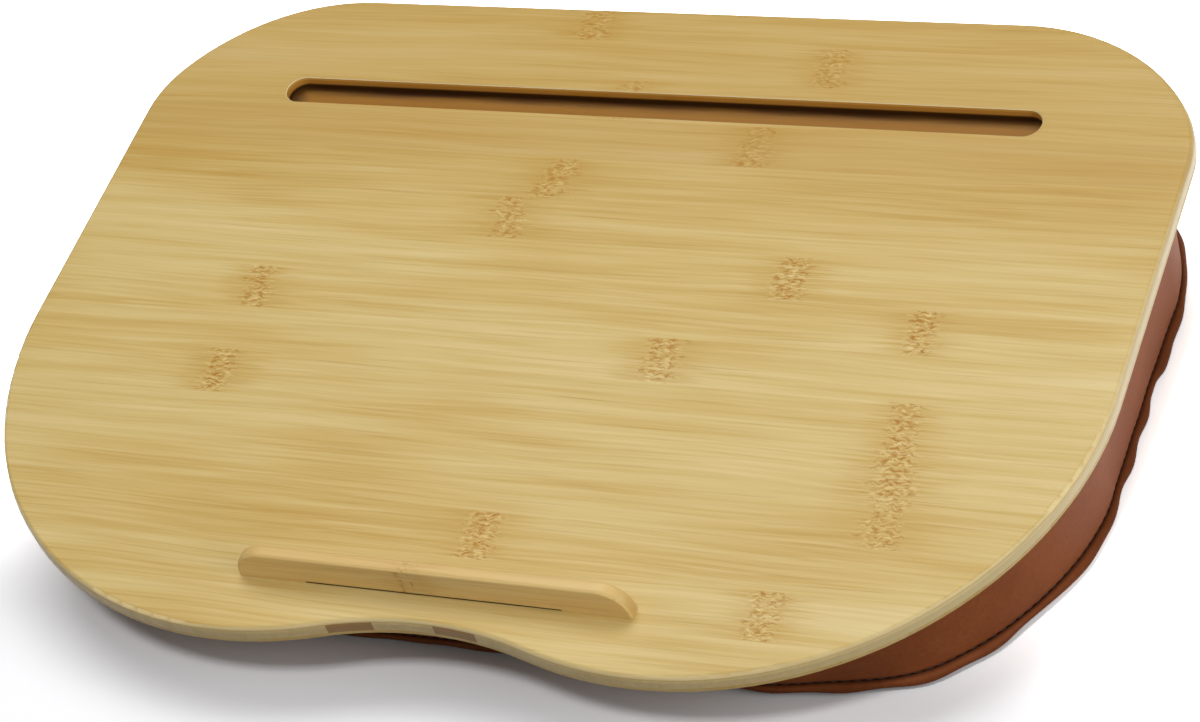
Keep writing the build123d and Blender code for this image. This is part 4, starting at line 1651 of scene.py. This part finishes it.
@dataclass
class Cushion:
    """The leatherette cushion: its filling, the panels of its cover and its seams.

    Attributes:
        plane: The board's axes.
        palette: The materials.
        stitches: What makes the rows of stitches.
        filling_gap: How far the filling shrinks from the swelled solid.
        filling_inset: How far it stays inside the cover's outline.
        seam_lift: How far the swollen cover lifts its lower seam.
        skin_share: How much of the solid's skin the cover's panels are thick.
        slit_seam: How far the stitches beside the zip lie from the slit's edges.
        fill_share: How much of its space the filled cushion takes; not used.
        ring_shares: Sizes of the rings that close a panel, as shares of its flat part.
        swelling: How the filling swells.
        cover: The cover that follows it.
    """

    plane: BoardPlane
    palette: Palette
    stitches: StitchMaker
    filling_gap: float = 0.0018
    filling_inset: float = 0.0032
    seam_lift: float = 0.0008
    skin_share: float = 0.8
    slit_seam: float = 0.0025
    fill_share: float = 0.9
    ring_shares: tuple[float, ...] = (0.85, 0.6, 0.3)
    swelling: Swelling = field(init=False)
    cover: CushionCover = field(init=False)

    def __post_init__(self) -> None:
        """Read the cushion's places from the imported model."""
        plane = self.plane
        top_low, top_high = plane.extent("cushion_top_panel")
        band_upper_low, _ = plane.extent("zip_band_upper")
        _, band_lower_high = plane.extent("zip_band_lower")
        _, band_high = plane.extent("zip_band_upper")
        slider_low, _ = plane.extent("zip_slider")
        board_low, _ = plane.extent("bottom_ply")
        zip_half = float(band_high[0])
        plan = CushionPlan(
            half_width=float(top_high[0]), front=float(top_low[1]), back=float(top_high[1]),
            zip_half=zip_half)
        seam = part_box("side_band")[0].z + self.seam_lift
        skin = float(top_high[2] - top_low[2])
        self.swelling = Swelling(
            plane, ceiling=float(top_high[2]), zip_zone=slider_low - 0.001)
        self.cover = CushionCover(
            plane, plan, top=float(top_high[2]), seam_height=float(seam), skin=skin,
            slit=(float(band_upper_low[2]), float(band_lower_high[2])),
            rim_lift=float(board_low[2] - top_high[2]) * 0.75, swell=self.swelling)

    def build(self) -> None:
        """Make every piece of the cushion."""
        filling = self.make_filling()
        sides, seam_line, rim_line, slit_lines = self.make_sides()
        bottom = self.make_bottom()
        top = self.make_top()
        dress("loop_pads", self.palette.hooks)
        seams = self.make_stitches(seam_line, rim_line, slit_lines)
        for piece, nodes in ((filling, ("foam_wedge",)), (bottom, ("cushion_bottom_panel",)),
                             (sides, ("side_band", "zip_band_upper", "zip_band_lower")),
                             (top, ("cushion_top_panel",))):
            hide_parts(*nodes)
        for piece in (filling, sides, bottom, top, *seams):
            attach(piece, "cushion")
            LOG.info("made %s with %d faces", piece.name, len(piece.data.polygons))

    def make_filling(self) -> bpy.types.Object:
        """Return the foam filling, swollen as cloth."""
        piece = self.swelling.blow_up(
            frame["nodes"]["foam_wedge"], "cushion_foam", self.palette.foam)
        board = self.plane.to_board(mesh_points(piece.data))
        zone = self.swelling.zip_zone
        near_zip = board[:, 1] > zone[1]
        board[near_zip, 1] = zone[1]
        normals = np.zeros(len(board) * 3)
        piece.data.vertices.foreach_get("normal", normals)
        shrunk = self.plane.to_model(board) - normals.reshape(-1, 3) * self.filling_gap
        set_mesh_points(piece.data, self.kept_inside(shrunk))
        return piece

    def kept_inside(self, points: np.ndarray) -> np.ndarray:
        """Return points pulled in until they lie inside the cover's outline.

        Args:
            points: The filling's points, in the model's frame.

        Returns:
            The points, with those outside the inset outline moved in.
        """
        board = self.plane.to_board(points)
        outline, normals = self.cover.points, self.cover.normals
        nearest = np.linalg.norm(board[:, None, :2] - outline[None], axis=2).argmin(1)
        outward = normals[nearest]
        beyond = ((board[:, :2] - outline[nearest]) * outward).sum(1) + self.filling_inset
        board[:, :2] -= outward * np.maximum(beyond, 0.0)[:, None]
        return self.plane.to_model(board)

    def make_sides(self) -> tuple[bpy.types.Object, np.ndarray, np.ndarray, list[np.ndarray]]:
        """Make the band round the sides, with the zip's slit in its back.

        Returns:
            The band, the line of the lower seam, the line of the upper one and the lines
            beside the slit.
        """
        cover = self.cover
        rim = cover.rim_rows()[cover.shared_row:]
        wall, downs, painted_crease_shares = cover.wall_rows()
        rows = cover.swollen(np.stack([*rim, *wall]))
        count, columns = len(rows), len(cover.points)
        first, last = (len(rim) + int(np.abs(np.array(downs) - share).argmin())
                       for share in cover.slit_shares())
        faces = ring_faces(count, columns, [(first, last)], cover.zip_steps)
        piece = make_piece("cushion_side_band", rows.reshape(-1, 3), faces, self.palette.leather)
        self.set_painted_crease_share(piece, np.repeat([*([0.0] * len(rim)), *painted_crease_shares], columns))
        self.thicken(piece)
        slit_lines = []
        for row, side in ((first, 1), (last, -1)):
            line = self.plane.to_board(rows[row, :cover.zip_steps + 1])
            line[:, 2] += side * self.slit_seam
            line[:, 1] = cover.plan.back + 0.0001
            slit_lines.append(self.plane.to_model(line[2:-2]))
        return piece, rows[-2], rows[0], slit_lines

    def make_bottom(self) -> bpy.types.Object:
        """Return the bottom panel, gathered along its seam and flat on the floor."""
        cover = self.cover
        crown, painted_crease_shares = cover.crown_rows()
        rows = np.stack(crown)
        rows = cover.swollen(rows)
        rows[..., 2] = np.maximum(rows[..., 2], 0.0)
        centre = rows[-1].mean(0)
        inner = [centre + (rows[-1] - centre) * share for share in self.ring_shares]
        inner = [np.column_stack([ring[:, :2], np.zeros(len(ring))]) for ring in inner]
        rows = np.concatenate([rows, np.stack(inner)])
        columns = rows.shape[1]
        faces = ring_faces(len(rows), columns)
        points = np.vstack([rows.reshape(-1, 3), [[centre[0], centre[1], 0.0]]])
        last = (len(rows) - 1) * columns
        middle = len(points) - 1
        faces.extend((last + i, middle, last + (i + 1) % columns) for i in range(columns))
        piece = make_piece("cushion_bottom_panel_cover", points, faces, self.palette.leather)
        painted_crease_shares += [0.0] * len(inner)
        depth = np.concatenate([np.repeat(painted_crease_shares, columns), [0.0]])
        self.set_painted_crease_share(piece, depth)
        self.thicken(piece)
        return piece

    def make_top(self) -> bpy.types.Object:
        """Return the top panel, flat under the board and raised to the welt at its rim."""
        cover = self.cover
        rows = cover.swollen(np.stack(cover.rim_rows()[:cover.shared_row + 1]))
        centre = rows[0].mean(0)
        inner = [centre + (rows[0] - centre) * share for share in reversed(self.ring_shares)]
        rows = np.concatenate([np.stack(inner), rows])
        columns = rows.shape[1]
        faces = ring_faces(len(rows), columns)
        points = np.vstack([rows.reshape(-1, 3), centre[None]])
        middle = len(points) - 1
        faces.extend((middle, i, (i + 1) % columns) for i in range(columns))
        piece = make_piece("cushion_top_cover", points, faces, self.palette.leather)
        self.set_painted_crease_share(piece, np.zeros(len(points)))
        self.thicken(piece)
        return piece

    def set_painted_crease_share(self, piece: bpy.types.Object, depth: np.ndarray) -> None:
        """Keep on each point how much painted shade the leatherette gets there, from 0 to 1."""
        attribute = piece.data.attributes.new("painted_crease_share", "FLOAT", "POINT")
        attribute.data.foreach_set("value", np.ascontiguousarray(depth, dtype=np.float32))

    def thicken(self, piece: bpy.types.Object) -> None:
        """Give a panel the leatherette's thickness, inwards."""
        solid = piece.modifiers.new("thickness", "SOLIDIFY")
        solid.thickness = self.cover.skin * self.skin_share
        solid.offset = -1.0
        bake_modifiers(piece)

    def make_stitches(self, seam: np.ndarray, rim: np.ndarray,
                      slit: Sequence[np.ndarray]) -> list[bpy.types.Object]:
        """Sew the cover's seams.

        Args:
            seam: The line of the lower seam.
            rim: The line of the upper seam.
            slit: The lines beside the zip.

        Returns:
            The rows of stitches.
        """
        make = self.stitches.sew
        return [
            make("lower_seam_stitches", [seam], True, 0.0042, 0.0031, 0.0007, self.palette.thread),
            make("upper_seam_stitches", [rim], True, 0.0042, 0.0031, 0.0006, self.palette.thread),
            make("zip_seam_stitches", slit, False, 0.0034, 0.0025, 0.0005,
                 self.palette.zip_thread),
        ]


@dataclass(frozen=True)
class Lamp:
    """A soft box that faces the object.

    Attributes:
        name: Its name.
        place: Where it hangs.
        size: Its width and height.
        power: Its power in watts.
    """

    name: str
    place: tuple[float, float, float]
    size: tuple[float, float]
    power: float

    def hang(self) -> None:
        """Put the lamp in the scene."""
        light = bpy.data.lights.new(self.name, "AREA")
        light.shape = "RECTANGLE"
        light.size, light.size_y = self.size
        light.energy = self.power
        lamp = bpy.data.objects.new(self.name, light)
        bpy.context.scene.collection.objects.link(lamp)
        lamp.location = self.place
        lamp.rotation_mode = "QUATERNION"
        lamp.rotation_quaternion = (-Vector(self.place)).to_track_quat("-Z", "Y")


@dataclass(frozen=True)
class Studio:
    """The floor, the light and the camera.

    Attributes:
        target: What the camera looks at, on the board's axes.
        distance: From there to the camera.
        azimuth: Angle of the view round the object, in degrees.
        elevation: Angle of the view above the floor, in degrees.
        roll: Turn of the camera about its own axis, in degrees.
        lens_mm: Focal length, for a sensor 36 mm wide.
        floor_reach: Half of the floor's side.
        floor_drop: How far the floor lies below the cushion, so that the two don't touch.
        fade: Distances from the object over which the floor turns into the white behind it.
        sky: Strength of the even light from all round.
        matt: How much light the floor gives back to the object.
        front_strip: Levels before the object between which the floor turns much brighter, a painted
            brightening that washes the object's shadow out beside and behind it.
        lamps: The soft boxes.
    """

    target: tuple[float, float, float] = (0.02546, -0.02294, 0.0)
    distance: float = 1.3211
    azimuth: float = 32.248
    elevation: float = 39.273
    roll: float = -17.250
    lens_mm: float = 108.6
    floor_reach: float = 4.0
    floor_drop: float = 0.0001
    fade: tuple[float, float] = (0.50, 0.85)
    sky: float = 0.13
    matt: float = 0.20
    front_strip: tuple[float, float] = (-0.13, -0.03)
    lamps: tuple[Lamp, ...] = (
        Lamp("top_softbox", (-0.25, 0.50, 1.60), (1.4, 0.9), 16.2),
        Lamp("right_softbox", (1.35, -0.42, 0.66), (0.9, 0.8), 8.5),
        Lamp("high_front", (0.12, -1.00, 1.90), (0.4, 0.3), 12.5),
    )

    def build(self, plane: BoardPlane) -> None:
        """Set the floor, the light and the camera."""
        self.make_camera(plane)
        self.make_floor()
        self.make_sky()
        for lamp in self.lamps:
            lamp.hang()

    def make_camera(self, plane: BoardPlane) -> None:
        """Place the camera where the photograph was taken from."""
        azimuth, elevation = math.radians(self.azimuth), math.radians(self.elevation)
        back = Vector((math.sin(azimuth) * math.cos(elevation),
                       -math.cos(azimuth) * math.cos(elevation), math.sin(elevation)))
        lens = bpy.data.cameras.new("camera")
        lens.lens = self.lens_mm
        lens.sensor_width = 36.0
        camera = bpy.data.objects.new("camera", lens)
        bpy.context.scene.collection.objects.link(camera)
        target = Vector(plane.to_model(np.array([self.target]))[0])
        camera.rotation_mode = "QUATERNION"
        camera.location = target + back * self.distance
        level = (-back).to_track_quat("-Z", "Y")
        camera.rotation_quaternion = level @ Quaternion((0, 0, 1), math.radians(self.roll))
        bpy.context.scene.camera = camera

    def make_floor(self) -> None:
        """Lay a white floor that keeps the object's shadow before it; beside and behind the object
        a painted brightening washes the shadow out.
        """
        reach, low = self.floor_reach, -self.floor_drop
        points = np.array([[-reach, -reach, low], [reach, -reach, low], [reach, reach, low],
                           [-reach, reach, low]], float)
        material = bpy.data.materials.new("white floor")
        material.use_nodes = True
        graph = NodeGraph(material.node_tree)
        nodes = material.node_tree.nodes
        nodes.remove(nodes["Principled BSDF"])
        matt = self.diffuse(graph, (self.matt, self.matt, self.matt, 1.0))
        white = self.diffuse(graph, (0.97, 0.97, 0.99, 1.0))
        path = graph.add("ShaderNodeLightPath")
        seen = graph.math("MAXIMUM", path.outputs["Is Camera Ray"], path.outputs["Is Glossy Ray"])
        seen = graph.math("MAXIMUM", seen, path.outputs["Is Transmission Ray"])
        x, y, _ = graph.split(graph.add("ShaderNodeTexCoord").outputs["Object"])
        # Painted brightening: beside and behind the object the floor shows far more light than
        # falls on it, which washes its shadow out there.
        beside = graph.ramp(y, *self.front_strip)
        more = self.diffuse(graph, graph.mix(beside, (0.10, 0.10, 0.10, 1.0), (2.2, 2.2, 2.2, 1.0)))
        lit = graph.add("ShaderNodeAddShader", {0: white, 1: more}).outputs[0]
        distance = graph.math("SQRT", graph.math("ADD", graph.product(x, x), graph.product(y, y)))
        behind = graph.add("ShaderNodeEmission", {"Color": (1, 1, 1, 1), "Strength": 1.0})
        faded = self.blend(graph, graph.ramp(distance, *self.fade), lit, behind.outputs[0])
        above = self.blend(graph, seen, matt, faded)
        below = graph.add("ShaderNodeNewGeometry").outputs["Backfacing"]
        clear = graph.add("ShaderNodeBsdfTransparent").outputs[0]
        surface = self.blend(graph, below, above, clear)
        graph.feed(nodes["Material Output"].inputs["Surface"], surface)
        floor = make_piece("floor", points, [(0, 1, 2, 3)], material)

    @staticmethod
    def diffuse(graph: NodeGraph, colour: Value) -> bpy.types.NodeSocket:
        """Return a matt surface of a colour."""
        return graph.add("ShaderNodeBsdfDiffuse", {"Color": colour}).outputs[0]

    @staticmethod
    def blend(graph: NodeGraph, share: Value, first: Value, second: Value) -> bpy.types.NodeSocket:
        """Return two surfaces blended by a share."""
        return graph.add("ShaderNodeMixShader", {0: share, 1: first, 2: second}).outputs[0]

    def make_sky(self) -> None:
        """Light the object evenly from all round, and show white behind it."""
        world = bpy.data.worlds.new("studio")
        world.use_nodes = True
        bpy.context.scene.world = world
        graph = NodeGraph(world.node_tree)
        nodes = world.node_tree.nodes
        even = nodes["Background"]
        even.inputs["Color"].default_value = (1.0, 1.0, 1.0, 1.0)
        even.inputs["Strength"].default_value = self.sky
        shown = graph.add("ShaderNodeBackground", {"Color": (1, 1, 1, 1), "Strength": 1.0})
        path = graph.add("ShaderNodeLightPath")
        mixed = graph.add("ShaderNodeMixShader", {
            0: path.outputs["Is Camera Ray"], 1: even.outputs[0], 2: shown.outputs[0]})
        graph.feed(nodes["World Output"].inputs["Surface"], mixed.outputs[0])


def main() -> None:
    """Build the scene."""
    logging.basicConfig(level=logging.INFO, format="%(name)s: %(message)s")
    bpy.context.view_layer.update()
    plane = BoardPlane.from_record(frame["record"])
    Studio().build(plane)
    palette = Palette(ShaderGroups(), plane)
    Tray().dress(palette)
    Zip().dress(palette)
    Cushion(plane, palette, StitchMaker()).build()
    bpy.context.scene.view_settings.view_transform = "Standard"


if __name__ == "__main__":
    main()
